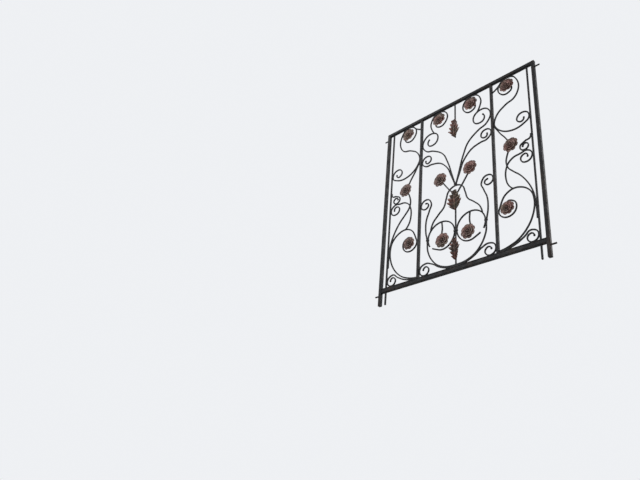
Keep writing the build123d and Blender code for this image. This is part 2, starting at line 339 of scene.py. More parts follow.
@dataclass(frozen=True)
class CopperPatina:
    """Stamped copper gone brown, with ruddy and olive drifts, hollows darkened by patina and painted shade,
    and high spots lightened by rubbing and a painted highlight.
    """

    name: str
    brown: Colour = (0.052, 0.033, 0.027)
    ruddy: Colour = (0.09, 0.04, 0.033)
    ruddy_drift: Drift = Drift(13, 4, 0.42, 0.62)
    olive: Colour = (0.052, 0.042, 0.025)
    olive_drift: Drift = Drift(7.5, 4, 0.5, 0.68, top=0.85)
    edge_drift: Drift = Drift(90, 5, 0.3, 0.7, -0.12, 0.12)
    # Near-black of the hollows: dark patina together with painted shade where the surface lies low.
    hollow: Colour = (0.008, 0.0065, 0.006)
    hollow_from: Share = (0.5, 0.12)
    hollow_share: float = 0.92
    # Light copper of the high spots: rubbed metal together with a painted highlight.
    rubbed: Colour = (0.235, 0.14, 0.103)
    rubbed_from: Share = (0.78, 1.0)
    rubbed_share: float = 0.8
    back: Colour = (0.016, 0.013, 0.012)
    back_from: Share = (0.1, 0.5)
    metal: float = 0.45
    gloss: float = 0.25
    roughness: Drift = Drift(45, 5, 0.3, 0.7, 0.3, 0.5)
    grain: Grain = Grain(150, 3, 0.0004)
    fine_grain: Grain = Grain(650, 2, 0.0001)

    def material(self) -> bpy.types.Material:
        """Builds the finish, which reads how far each point stands out.

        Returns:
            The node material.
        """
        sheet = ShaderSheet(self.name)
        crest = sheet.put("ShaderNodeAttribute", {"attribute_name": "crest"}).outputs["Fac"]
        height = sheet.maths("ADD", crest, sheet.drift(self.edge_drift))
        colour = sheet.blend(sheet.drift(self.ruddy_drift), self.brown, self.ruddy)
        colour = sheet.blend(sheet.drift(self.olive_drift), colour, self.olive)
        # Painted shade together with dark patina where the surface lies low.
        colour = sheet.blend(sheet.band(height, *self.hollow_from, 0, self.hollow_share), colour, self.hollow)
        # Painted highlight together with rubbed metal where the surface stands out.
        colour = sheet.blend(sheet.band(height, *self.rubbed_from, 0, self.rubbed_share), colour, self.rubbed)
        colour = sheet.blend(sheet.band(sheet.facing("Y"), *self.back_from), colour, self.back)
        return sheet.dressed(
            Base_Color=colour,
            Roughness=sheet.drift(self.roughness),
            Metallic=self.metal,
            Specular_IOR_Level=self.gloss,
            Normal=sheet.relief(self.fine_grain, Normal=sheet.relief(self.grain)),
        )


def seen_rays(work: Wiring) -> Socket:
    """Adds up the rays that see the stage: the camera's, and those in gloss and through glass.

    Args:
        work: The shader tree to wire in.

    Returns:
        1 for such a ray and 0 for the others.
    """
    rays = work.put("ShaderNodeLightPath").outputs
    mirrored = work.maths("MAXIMUM", rays["Is Camera Ray"], rays["Is Glossy Ray"])
    return work.maths("MAXIMUM", mirrored, rays["Is Transmission Ray"])


@dataclass(frozen=True)
class PalePlaster:
    """The plain pale surface of the stage, which still takes a soft shadow."""

    name: str = "pale_stage"
    colour: Colour = (0.8, 0.8, 0.79)
    mottle: float = 1.03
    mottle_drift: Drift = Drift(1.5, 5, 0.3, 0.7)
    roughness: float = 0.9
    glow: float = 0.65

    def material(self) -> bpy.types.Material:
        """Builds the finish, with a faint mottle and a share of glow for the rays that see it.

        Returns:
            The node material.
        """
        sheet = ShaderSheet(self.name)
        lighter = tuple(min(1.0, part * self.mottle) for part in self.colour)
        colour = sheet.blend(sheet.drift(self.mottle_drift), self.colour, lighter)
        seen = sheet.get("ShaderNodeEmission", Color=colour, Strength=1.0)
        share = sheet.maths("MULTIPLY", seen_rays(sheet), self.glow)
        both = sheet.in_order("ShaderNodeMixShader", {}, share, sheet.surface.outputs[0], seen)
        sheet.feed(sheet.tree.nodes["Material Output"].inputs["Surface"], both)
        return sheet.dressed(Base_Color=colour, Roughness=self.roughness)


@dataclass(frozen=True)
class Finishes:
    """Every finish of the grille, made once and handed to the pieces."""

    made: dict[Slot, bpy.types.Material]

    @classmethod
    def mixed(cls) -> "Finishes":
        """Mixes the finishes for this grille.

        Returns:
            The finishes by material slot.
        """
        finishes = {
            Slot.FRAME: IronPaint("frame_iron_paint", bloom_share=0.6),
            Slot.SCROLL: IronPaint("scroll_iron_paint", bloom_share=0.4, hammer=Grain(105, 1, 0.0024)),
            Slot.PIN: IronPaint("pin_iron_paint", bloom_share=0.9, coat=(0.014, 0.011, 0.009)),
            Slot.ROSETTE: CopperPatina("rosette_copper_patina"),
            Slot.LEAF: CopperPatina("leaf_copper_patina", ruddy=(0.11, 0.045, 0.034)),
        }
        return cls({slot: finish.material() for slot, finish in finishes.items()})

    def of(self, slot: Slot) -> bpy.types.Material:
        """The finish of one material slot."""
        return self.made[slot]


# Meshes and how they are handed over


class NodeTree(Wiring):
    """One geometry node tree under construction, with named inputs."""

    def __init__(self, name: str) -> None:
        """Starts a tree with a geometry going in and one coming out.

        Args:
            name: The tree's name.
        """
        super().__init__(bpy.data.node_groups.new(name, "GeometryNodeTree"))
        for way in ("INPUT", "OUTPUT"):
            self.tree.interface.new_socket("Geometry", in_out=way, socket_type="NodeSocketGeometry")
        self.start = self.put("NodeGroupInput")
        self.end = self.put("NodeGroupOutput")

    @property
    def given(self) -> Socket:
        """The geometry that goes in."""
        return self.start.outputs["Geometry"]

    def ask(self, name: str, kind: str = "Float") -> Socket:
        """Adds a named input to the tree.

        Args:
            name: The input's name.
            kind: Its kind of value.

        Returns:
            The socket to wire from.
        """
        self.tree.interface.new_socket(name, in_out="INPUT", socket_type=f"NodeSocket{kind}")
        return self.start.outputs[name]

    def stray(self, low: object, high: object, seed: Socket) -> Socket:
        """A random number for each point.

        Args:
            low: The lowest that it may be.
            high: The highest that it may be.
            seed: The draw's seed.

        Returns:
            The number.
        """
        node = self.put("FunctionNodeRandomValue", {"data_type": "FLOAT"}, Min=low, Max=high, Seed=seed)
        return next(one for one in node.outputs if one.enabled)

    def together(self, *parts: Socket) -> Socket:
        """Joins geometries.

        Args:
            parts: The geometries, first to last.

        Returns:
            All of them as one.
        """
        node = self.put("GeometryNodeJoinGeometry")
        for part in reversed(parts):
            self.tree.links.new(part, node.inputs[0])
        return node.outputs[0]

    def eased_frame(self, width: Socket, height: Socket, radius: Socket, steps: int = 2) -> Socket:
        """A rectangle with round corners.

        Args:
            width: Its width.
            height: Its height.
            radius: Radius of its corners.
            steps: Edges round each corner.

        Returns:
            The closed curve.
        """
        square = self.get("GeometryNodeCurvePrimitiveQuadrilateral", Width=width, Height=height)
        return self.get("GeometryNodeFilletCurve", {"mode": "POLY"}, Curve=square, Count=steps, Radius=radius)

    def rippled(self, surface: Socket, waver: Socket, scale: object, detail: float) -> Socket:
        """Moves a surface a little in and out.

        Args:
            surface: The surface.
            waver: How far it may move between its lowest and highest point.
            scale: Features per metre.
            detail: Octaves of finer noise.

        Returns:
            The uneven surface.
        """
        noise = self.get("ShaderNodeTexNoise", Scale=scale, Detail=detail)
        depth = self.maths("MULTIPLY", self.maths("SUBTRACT", noise, 0.5), waver)
        normal = self.get("GeometryNodeInputNormal")
        offset = self.get("ShaderNodeVectorMath", {"operation": "SCALE"}, Vector=normal, Scale=depth)
        return self.get("GeometryNodeSetPosition", Geometry=surface, Offset=offset)

    def close(self, geometry: Socket, finish: Socket) -> bpy.types.NodeTree:
        """Makes a geometry real, shades and paints it, and sends it out of the tree.

        Args:
            geometry: The finished geometry.
            finish: Its material.

        Returns:
            The finished tree.
        """
        smooth = self.get("GeometryNodeSetShadeSmooth", Geometry=geometry)
        real = self.get("GeometryNodeRealizeInstances", Geometry=smooth)
        painted = self.get("GeometryNodeSetMaterial", Geometry=real, Material=finish)
        self.tree.links.new(painted, self.end.inputs["Geometry"])
        return self.tree


def linked(name: str, data: bpy.types.ID) -> bpy.types.Object:
    """A new object in the scene that shows the given data.

    Args:
        name: The object's name.
        data: Its mesh, curve, lamp or camera.

    Returns:
        The new object.
    """
    made = bpy.data.objects.new(name, data)
    bpy.context.scene.collection.objects.link(made)
    return made


def settled(piece: bpy.types.Object) -> bpy.types.Mesh:
    """The plain mesh that an object's modifiers make.

    Args:
        piece: The object.

    Returns:
        The new mesh.
    """
    bpy.context.view_layer.update()
    depsgraph = bpy.context.evaluated_depsgraph_get()
    return bpy.data.meshes.new_from_object(piece.evaluated_get(depsgraph), depsgraph=depsgraph)


def grown(
    holder: bpy.types.Object,
    tree: bpy.types.NodeTree,
    name: str,
    **values: object,
) -> bpy.types.Object:
    """Runs a node tree on an object and keeps the result as a plain mesh.

    Args:
        holder: The object that the tree works on, which is removed.
        tree: The node tree.
        name: The new piece's name.
        values: The tree's inputs by name, with underscores for spaces.

    Returns:
        The finished piece.
    """
    modifier = holder.modifiers.new("build", "NODES")
    modifier.node_group = tree
    for item in tree.interface.items_tree:
        key = item.name.replace(" ", "_")
        if item.item_type == "SOCKET" and item.in_out == "INPUT" and key in values:
            modifier[item.identifier] = values[key]
    mesh = settled(holder)
    holder.modifiers.remove(modifier)
    bpy.data.objects.remove(holder)
    mesh.name = name
    return linked(name, mesh)


def modify(piece: bpy.types.Object, kind: str, **settings: object) -> None:
    """Applies one modifier to a piece.

    Args:
        piece: The piece.
        kind: The modifier's type.
        settings: Its options.
    """
    modifier = piece.modifiers.new("shape", kind)
    for name, value in settings.items():
        setattr(modifier, name, value)
    mesh = settled(piece)
    piece.modifiers.remove(modifier)
    piece.data = mesh


def keep_flats(piece: bpy.types.Object) -> None:
    """Keeps the flats of a smooth-shaded bar flat, so that only its soft edges turn the light."""
    modify(piece, "WEIGHTED_NORMAL", weight=80)


def thicken(piece: bpy.types.Object, thickness: float) -> None:
    """Gives a stamped skin its sheet thickness and shades it smooth.

    Args:
        piece: The piece.
        thickness: Thickness of the sheet.
    """
    modify(piece, "SOLIDIFY", thickness=thickness, offset=-1)
    for face in piece.data.polygons:
        face.use_smooth = True


def kept(work: bmesh.types.BMesh, name: str) -> bpy.types.Mesh:
    """Writes a mesh under construction to a new mesh, shaded smooth.

    Args:
        work: The mesh under construction, which is freed.
        name: The new mesh's name.

    Returns:
        The new mesh.
    """
    for face in work.faces:
        face.smooth = True
    mesh = bpy.data.meshes.new(name)
    work.to_mesh(mesh)
    work.free()
    return mesh


def skin(
    name: str,
    rows: int,
    columns: int,
    point: Callable[[float, float], tuple[Vector, float]],
    front: bool,
) -> bpy.types.Mesh:
    """A single skin of square faces, with how far each point stands out as an attribute.

    Args:
        name: The mesh's name.
        rows: Faces along it.
        columns: Faces across it.
        point: Gives a place and how far it stands out, for a share along from 0 to 1 and across from -1 to 1.
        front: Whether the skin faces the way of across times along, or else the other way.

    Returns:
        The new mesh.
    """
    work = bmesh.new()
    crest = work.verts.layers.float.new("crest")
    grid = []
    for row in range(rows + 1):
        line = []
        for column in range(columns + 1):
            place, height = point(row / rows, 2 * column / columns - 1)
            vert = work.verts.new(place)
            vert[crest] = height
            line.append(vert)
        grid.append(line)
    for near, far in zip(grid, grid[1:]):
        corners = (near, near[1:], far[1:], far) if front else (near, far, far[1:], near[1:])
        for face in zip(*corners):
            work.faces.new(face)
    return kept(work, name)


def add_ball(work: bmesh.types.BMesh, radius: float, bands: int, around: int) -> None:
    """Adds a ball to a mesh under construction, with its points and faces in a fixed order.

    Args:
        work: The mesh under construction.
        radius: The ball's radius.
        bands: Bands of faces from pole to pole.
        around: Faces in each band.
    """
    lines = []
    for slant in (math.pi * band / bands for band in range(1, bands)):
        out, up = radius * math.sin(slant), radius * math.cos(slant)
        turns = [math.tau * step / around for step in range(around)]
        lines.append([work.verts.new((out * math.cos(turn), out * math.sin(turn), up)) for turn in turns])
    for near, far in zip(lines, lines[1:]):
        for face in zip(near, far, far[1:] + far[:1], near[1:] + near[:1]):
            work.faces.new(face)
    for line, height in ((lines[0], radius), (lines[-1][::-1], -radius)):
        pole = work.verts.new((0, 0, height))
        for pair in zip(line, line[1:] + line[:1]):
            work.faces.new((pole, *pair))


def dots(name: str, places: Iterable[Place]) -> bpy.types.Object:
    """An object of loose points.

    Args:
        name: Its name.
        places: The points.

    Returns:
        The new object.
    """
    mesh = bpy.data.meshes.new(name)
    mesh.from_pydata(list(places), [], [])
    return linked(name, mesh)


def hand_over(piece: bpy.types.Object, slot: Slot, *nodes: str) -> None:
    """Fixes a finished piece to the grille, in place of its plain solids if it has any.

    Args:
        piece: The finished piece.
        slot: The material slot that it takes its finish from, which is not used.
        nodes: The plain solids that it stands for.
    """
    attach(piece, "root")
    if nodes:
        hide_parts(*nodes)
    log.info("%s: %d faces for %s", piece.name, len(piece.data.polygons), ", ".join(nodes) or "the joints")


# Lines of the scrollwork


def heading_after(heading: Vector, step: Vector) -> Vector:
    """The heading at the far end of an arc, from the one at its near end and the step between them."""
    along = step.normalized()
    return along * (2 * along.dot(heading)) - heading


@dataclass
class SmoothLine:
    """A smooth line of arcs through chosen points of the elevation."""

    points: list[Vector]
    near_straight: float = 1e-6
    end_handle: float = 0.001

    def headings(self) -> list[Vector]:
        """The heading at each point, from the circle through the point and its neighbours.

        Returns:
            One heading for each point.
        """
        steps = [b - a for a, b in zip(self.points, self.points[1:])]
        inner = [(a / a.length_squared + b / b.length_squared).normalized() for a, b in zip(steps, steps[1:])]
        return [heading_after(inner[0], steps[0]), *inner, heading_after(inner[-1], steps[-1])]

    def joints(self) -> list[tuple[Vector, Vector]]:
        """Each point and each meeting of two arcs, with the heading there.

        Returns:
            Pairs of a place and a heading.
        """
        ends = self.headings()
        found = [(self.points[0], ends[0])]
        for a, b, leaving, arriving in zip(self.points, self.points[1:], ends, ends[1:]):
            middle = self.meeting(a, leaving, b, arriving)
            found.append((middle, heading_after(leaving, middle - a)))
            found.append((b, arriving))
        return found

    def meeting(self, a: Vector, leaving: Vector, b: Vector, arriving: Vector) -> Vector:
        """Where two arcs meet that lead from one point and heading to another without a kink.

        Args:
            a: The first point.
            leaving: The heading there.
            b: The second point.
            arriving: The heading there.

        Returns:
            The meeting point.
        """
        step = b - a
        both = step.dot(leaving + arriving)
        turn = 2 - 2 * leaving.dot(arriving)
        if turn < self.near_straight:
            reach = step.length_squared / (4 * step.dot(arriving))
        else:
            reach = (math.sqrt(both**2 + turn * step.length_squared) - both) / turn
        return (a + b + (leaving - arriving) * reach) / 2

    def handle(self, place: Vector, other: Vector | None, heading: Vector) -> float:
        """How long a handle follows the arc from a place to another.

        Args:
            place: The place.
            other: The other end of the arc, if there is one.
            heading: The heading towards it.

        Returns:
            The handle's length.
        """
        if other is None:
            return self.end_handle
        step = other - place
        return 2 * step.length / (3 * (1 + step.normalized().dot(heading)))

    def spline(self, curve: bpy.types.Curve, first: float, last: float, weight: float) -> None:
        """Adds the line to a curve.

        Args:
            curve: The curve to add to.
            first: Thickness of its first end against the bar.
            last: Thickness of its last end against the bar.
            weight: Thickness of the bar against its stock.
        """
        joints = self.joints()
        places = [None, *(place for place, _ in joints), None]
        knots = curve.splines.new("BEZIER").bezier_points
        knots.add(len(joints) - 1)
        for knot, (place, heading), before, after in zip(knots, joints, places, places[2:]):
            knot.handle_left_type = knot.handle_right_type = "FREE"
            left = place - heading * self.handle(place, before, -heading)
            right = place + heading * self.handle(place, after, heading)
            knot.co = (place.x, 0, place.y)
            knot.handle_left = (left.x, 0, left.y)
            knot.handle_right = (right.x, 0, right.y)
            knot.radius = weight
        knots[0].radius = weight * first
        knots[-1].radius = weight * last


@dataclass
class BarLine:
    """One bar of a scroll: its line and how its ends are forged."""

    points: list[Vector]
    last: End = End.PLAIN
    first: End = End.PLAIN


@dataclass
class Bays:
    """The clear bays between posts and rails, as far as the bars' centre lines may reach, in metres."""

    bar: float = 0.010
    bite: float = 0.0005
    axis: float = field(init=False)
    lowest: float = field(init=False)
    highest: float = field(init=False)
    post_line: float = field(init=False)
    near_line: float = field(init=False)
    far_line: float = field(init=False)

    def __post_init__(self) -> None:
        """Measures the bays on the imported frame."""
        reach = self.bar / 2 - self.bite
        inner_low, inner_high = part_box("right_inner_post")
        self.axis = (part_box("left_post")[0].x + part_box("right_post")[1].x) / 2
        self.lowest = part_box("bottom_rail")[1].z + reach
        self.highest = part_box("top_rail")[0].z - reach
        self.post_line = inner_low.x - self.axis - reach
        self.near_line = inner_high.x - self.axis + reach
        self.far_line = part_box("right_side_bar")[0].x - self.axis - reach

    @property
    def kiss(self) -> float:
        """Distance between the centre lines of two bars that touch."""
        return self.bar - self.bite

    def spot(self, side: Side, offset: float, height: float) -> Vector:
        """A point at an offset from the axis, on the given side."""
        return Vector((self.axis + side.value * offset, height))

    def level(self, share: float) -> float:
        """A height, from 0 on the bottom rail to 1 under the top rail."""
        return self.lowest + share * (self.highest - self.lowest)

    def middle(self, side: Side, *shares: Share) -> list[Vector]:
        """Points of the middle bay, by shares of the way to the inner post and of the height."""
        return [self.spot(side, out * self.post_line, self.level(up)) for out, up in shares]

    def outer(self, side: Side, *shares: Share) -> list[Vector]:
        """Points of a side bay, by shares of the way to the side bar and of the height."""
        width = self.far_line - self.near_line
        return [self.spot(side, self.near_line + out * width, self.level(up)) for out, up in shares]


def beside(side: Side, eye: Vector, reach: float, angle: float) -> Vector:
    """The point so far from an eye, at an angle with 0 away from the axis and 90 up."""
    turned = math.radians(angle)
    return eye + Vector((side.value * reach * math.cos(turned), reach * math.sin(turned)))


def inward(side: Side, eye: Vector, radius: float, *steps: Share) -> list[Vector]:
    """Points that lead in from a ring to its eye, by shares of its radius and angles."""
    return [beside(side, eye, share * radius, angle) for share, angle in steps]


@dataclass(frozen=True)
class Curl:
    """A bar's end wound in round its eye."""

    radius: float
    turn: float = 440
    end: float = 0.016
    draw: float = 1.5
    step: float = 74

    def reach(self, turned: float) -> float:
        """Distance from the eye once the bar has turned by so many degrees."""
        return self.radius - (self.radius - self.end) * (turned / self.turn) ** self.draw

    def points(self, side: Side, eye: Vector, start: float, way: int = 1) -> list[Vector]:
        """Points along the curl.

        Args:
            side: The half of the grille that it is in.
            eye: Its eye.
            start: Angle of its first point, with 0 away from the axis and 90 up.
            way: 1 to turn from the outside upwards and -1 to turn the other way.

        Returns:
            Its points, from outside to inside.
        """
        count = round(self.turn / self.step)
        turns = [self.turn * index / count for index in range(count + 1)]
        return [beside(side, eye, self.reach(turned), start + way * turned) for turned in turns]


@dataclass
class ScrollPattern:
    """Every line of the scrollwork, from the axis or the inner post outwards."""

    bays: Bays
    curl: Curl = Curl(0.054)
    low_curl: Curl = Curl(0.050)
    loop_curl: Curl = Curl(0.039)
    wide_curl: Curl = Curl(0.062)
    high_curl: Curl = Curl(0.090, 400, 0.032, 1)
    rosette_curl: Curl = Curl(0.088, 270, 0.074, 1)
    foot_curl: Curl = Curl(0.074, 270, 0.064, 1)
    ring: Curl = Curl(0.120, 300, 0.120, 1)
    tulip_head: Share = (0, 0.459)
    tall_turn: Share = (0, 0.73)
    middle_rosette: Share = (0.454, 0.558)
    lyre_level: float = 0.41
    leaf_level: float = 0.458
    upcurl_level: float = 0.695
    spray_level: float = 0.698
    high_level: float = 0.823

    def mirrored(self, line: Callable[[Side], list[Vector]]) -> list[Vector]:
        """The points of a line that crosses the axis, from left to right."""
        return [*reversed(line(Side.LEFT)), *line(Side.RIGHT)[1:]]

    def rosette_level(self) -> float:
        """Height of the rosettes under the top rail."""
        return self.bays.highest - self.rosette_curl.reach(90)

    def ring_eye(self, side: Side) -> Vector:
        """The centre of a ring, which rests against the axis bar."""
        return self.bays.spot(side, self.ring.radius + self.bays.kiss, self.bays.level(0.193))

    def high_eye(self, side: Side) -> Vector:
        """The eye of the high scroll's wide curl."""
        height = self.bays.level(self.high_level)
        return self.bays.spot(side, self.bays.post_line - self.high_curl.radius, height)

    def crown_eye(self, side: Side) -> Vector:
        """The centre of a crown spiral's rosette."""
        return self.bays.spot(side, 0.477 * self.bays.post_line, self.rosette_level())

    def leaf_eye(self, side: Side) -> Vector:
        """The eye of the leaf scroll's curl, against the side bar."""
        height = self.bays.level(self.leaf_level)
        return self.bays.spot(side, self.bays.far_line - self.curl.reach(75), height)

    def top_eye(self, side: Side) -> Vector:
        """The centre of a side bay's top rosette."""
        return Vector((self.bays.outer(side, (0.438, 0))[0].x, self.rosette_level()))

    def base_eye(self, side: Side) -> Vector:
        """The eye of the base scroll's curl."""
        height = self.bays.lowest + self.curl.reach(190)
        return self.bays.spot(side, self.bays.post_line - self.curl.reach(100), height)

    def low_eye(self, side: Side) -> Vector:
        """The eye of the low scroll's curl."""
        height = self.bays.lowest + self.low_curl.reach(180)
        return self.bays.spot(side, self.bays.far_line - self.low_curl.reach(90), height)

    def touches(self, side: Side) -> list[Vector]:
        """Where the bars of one half touch a post, a rail or each other and are welded.

        Args:
            side: The half of the grille.

        Returns:
            The places, between the bars.
        """
        bays, half = self.bays, self.bays.bar / 2
        on_post = [self.base_eye(side).y]
        on_post += [bays.level(share) for share in (self.lyre_level, self.spray_level, self.high_level)]
        on_side_bar = [self.low_eye(side).y]
        on_side_bar += [bays.level(share) for share in (0.11, self.leaf_level, self.upcurl_level)]
        found = [bays.spot(side, bays.post_line + half, height) for height in on_post]
        found += [bays.spot(side, bays.far_line + half, height) for height in on_side_bar]
        found += [Vector((eye.x, bays.lowest - half)) for eye in (self.base_eye(side), self.low_eye(side))]
        found += [Vector((eye.x, bays.highest + half)) for eye in (self.crown_eye(side), self.top_eye(side))]
        found.append(bays.spot(side, bays.near_line - half, bays.level(self.tall_turn[1])))
        found.append(self.leaf_eye(side) + Vector((0, self.curl.radius + bays.kiss / 2)))
        return found

    def base(self, side: Side) -> list[Vector]:
        """The low scroll along the bottom rail."""
        foot = self.bays.middle(side, (0, 0), (0.23, 0.004), (0.44, 0.021), (0.66, 0.052))
        return foot + self.curl.points(side, self.base_eye(side), 100, -1)

    def lyre(self, side: Side) -> list[Vector]:
        """The large lyre, round the rings to a curl against the inner post.

        Args:
            side: The half of the grille that it is in.

        Returns:
            Its points, from the axis outwards.
        """
        foot = [self.bays.spot(side, 0, self.bays.lowest + self.bays.kiss)]
        foot += self.bays.middle(side, (0.257, 0.011), (0.467, 0.031), (0.654, 0.072), (0.768, 0.125))
        beside_ring = [beside(side, self.ring_eye(side), self.ring.radius + self.bays.kiss, 0)]
        arm = self.bays.middle(side, (0.846, 0.25), (0.83, 0.32), (0.755, 0.365))
        eye_out = self.bays.post_line - self.curl.reach(180)
        eye = self.bays.spot(side, eye_out, self.bays.level(self.lyre_level))
        return foot + beside_ring + arm + self.curl.points(side, eye, 180, -1)

    def ring_bar(self, side: Side) -> list[Vector]:
        """The ring, open at its lower outer side."""
        tail = self.bays.middle(side, (0.53, 0.124), (0.64, 0.136))
        return self.ring.points(side, self.ring_eye(side), -30) + tail

    def tendril(self, side: Side) -> list[Vector]:
        """The short bar from the top of the ring to the rosette in it."""
        root = beside(side, self.ring_eye(side), self.ring.radius, 92)
        return [root, *self.bays.middle(side, (0.369, 0.23), (0.383, 0.195), (0.346, 0.16))]

    def tulip(self, side: Side) -> list[Vector]:
        """The tulip frame, from its round head to the side of the ring.

        Args:
            side: The half of the grille that it is in.

        Returns:
            Its points, from the axis outwards.
        """
        head = self.bays.middle(side, self.tulip_head, (0.093, 0.455), (0.201, 0.437), (0.262, 0.4))
        flank = self.bays.middle(side, (0.327, 0.355), (0.491, 0.32), (0.635, 0.285))
        return head + flank + [beside(side, self.ring_eye(side), self.ring.radius, 36)]

    def flower_stem(self, side: Side) -> list[Vector]:
        """The stem that crosses the tulip's head and carries a rosette."""
        return self.bays.middle(side, (0, 0.41), (0.14, 0.438), (0.257, 0.473), (0.42, 0.529))

    def high(self, side: Side) -> list[Vector]:
        """The high scroll, from the tulip's head to a wide curl at the inner post.

        Args:
            side: The half of the grille that it is in.

        Returns:
            Its points, from the axis outwards.
        """
        rise = self.bays.middle(side, self.tulip_head, (0.093, 0.53), (0.21, 0.62), (0.38, 0.7))
        head = self.bays.middle(side, (0.65, 0.745), (0.888, 0.768))
        return rise + head + self.high_curl.points(side, self.high_eye(side), 0)

    def spray(self, side: Side) -> list[Vector]:
        """The lower spray beside the high scroll.

        Args:
            side: The half of the grille that it is in.

        Returns:
            Its points, from the axis outwards.
        """
        eye_out = self.bays.post_line - self.curl.reach(75)
        eye = self.bays.spot(side, eye_out, self.bays.level(self.spray_level))
        rise = self.bays.middle(side, self.tulip_head, (0.103, 0.52), (0.257, 0.6))
        head = self.bays.middle(side, (0.467, 0.645), (0.701, 0.66))
        return rise + head + self.curl.points(side, eye, -75)

    def rosette_ring(self, side: Side, eye: Vector) -> list[Vector]:
        """A ring against the top rail that winds in to its rosette."""
        lead = inward(side, eye, self.rosette_curl.radius, (0.65, 310), (0.3, 345))
        return self.rosette_curl.points(side, eye, 0) + lead + [eye]

    def crown(self, side: Side) -> list[Vector]:
        """The crown spiral, from the high scroll's curl round its rosette."""
        root = beside(side, self.high_eye(side), self.high_curl.reach(112), 112)
        return [root, *self.bays.middle(side, (0.7, 0.892)), *self.rosette_ring(side, self.crown_eye(side))]

    def low(self, side: Side) -> list[Vector]:
        """The low scroll from the foot of the inner post to a curl at the side bar.

        Args:
            side: The half of the grille that it is in.

        Returns:
            Its points, from the inner post outwards.
        """
        foot = self.bays.outer(side, (-0.05, 0), (0.086, 0.001), (0.272, 0.006))
        rise = self.bays.outer(side, (0.459, 0.018), (0.619, 0.035))
        return foot + rise + self.low_curl.points(side, self.low_eye(side), 90, -1)

    def foot_spiral(self, side: Side) -> list[Vector]:
        """The large spiral from the foot of the inner post round the lowest rosette.

        Args:
            side: The half of the grille that it is in.

        Returns:
            Its points, from the inner post outwards.
        """
        foot = self.bays.outer(side, (-0.05, 0.004), (0.086, 0.006), (0.272, 0.015), (0.459, 0.03))
        rise = self.bays.outer(side, (0.619, 0.053), (0.806, 0.097), (0.918, 0.147), (0.958, 0.2))
        turn = self.bays.outer(side, (0.886, 0.26), (0.672, 0.298), (0.432, 0.308), (0.22, 0.29))
        eye = self.bays.outer(side, (0.267, 0.212))[0]
        lead = inward(side, eye, self.foot_curl.radius, (0.72, 95), (0.4, 120))
        return foot + rise + turn + self.foot_curl.points(side, eye, 135) + lead + [eye]

    def stem(self, side: Side) -> list[Vector]:
        """The flower stem, from the side bar to the middle rosette.

        Args:
            side: The half of the grille that it is in.

        Returns:
            Its points, from the side bar inwards.
        """
        rise = self.bays.outer(side, (1, 0.11), (1, 0.16), (0.987, 0.21), (0.928, 0.265), (0.806, 0.32))
        turn = self.bays.outer(side, (0.646, 0.367), (0.459, 0.405), (0.342, 0.432), (0.288, 0.47))
        return rise + turn + self.bays.outer(side, (0.326, 0.51), self.middle_rosette)

    def leaf_scroll(self, side: Side) -> list[Vector]:
        """The scroll from the large spiral across the stem to a curl at the side bar.

        Args:
            side: The half of the grille that it is in.

        Returns:
            Its points, from the large spiral upwards.
        """
        rise = self.bays.outer(side, (0.432, 0.308), (0.32, 0.335), (0.256, 0.38), (0.267, 0.425))
        head = self.bays.outer(side, (0.352, 0.463), (0.512, 0.484), (0.672, 0.488))
        return rise + head + self.curl.points(side, self.leaf_eye(side), 75, -1)

    def loop(self, side: Side) -> list[Vector]:
        """The small loop from the side bar, seated on the leaf scroll's curl.

        Args:
            side: The half of the grille that it is in.

        Returns:
            Its points, from the side bar inwards.
        """
        lift = self.curl.radius + self.bays.kiss + self.loop_curl.reach(180)
        eye = self.leaf_eye(side) + Vector((0, lift))
        return self.bays.outer(side, (1, 0.578), (0.985, 0.56)) + self.loop_curl.points(side, eye, 90)

    def tall(self, side: Side) -> list[Vector]:
        """The tall spiral, from the middle rosette past the inner post round the top rosette.

        Args:
            side: The half of the grille that it is in.

        Returns:
            Its points, from the middle rosette upwards.
        """
        rise = self.bays.outer(side, self.middle_rosette, (0.326, 0.61), (0.13, 0.67), self.tall_turn)
        head = self.bays.outer(side, (0.107, 0.79), (0.352, 0.825), (0.63, 0.847), (0.75, 0.885))
        return rise + head + self.rosette_ring(side, self.top_eye(side))

    def strut(self, side: Side) -> list[Vector]:
        """The short strut from the inner post to the head of the tall spiral."""
        end = beside(side, self.top_eye(side), self.rosette_curl.reach(128), 128)
        return self.bays.outer(side, (-0.05, 0.944), (0.086, 0.956)) + [end]

    def upcurl(self, side: Side) -> list[Vector]:
        """The wide curl from the tall spiral to the side bar.

        Args:
            side: The half of the grille that it is in.

        Returns:
            Its points, from the tall spiral outwards.
        """
        eye_out = self.bays.far_line - self.wide_curl.reach(90)
        eye = self.bays.spot(side, eye_out, self.bays.level(self.upcurl_level))
        rise = self.bays.outer(side, self.tall_turn, (0.13, 0.685), (0.352, 0.655))
        return rise + self.wide_curl.points(side, eye, -90)

    def upright(self, low: float, high: float) -> list[Vector]:
        """A straight bar on the axis."""
        heights = (low, (low + high) / 2, high)
        return [self.bays.spot(Side.RIGHT, 0, height) for height in heights]


# Sub-assemblies


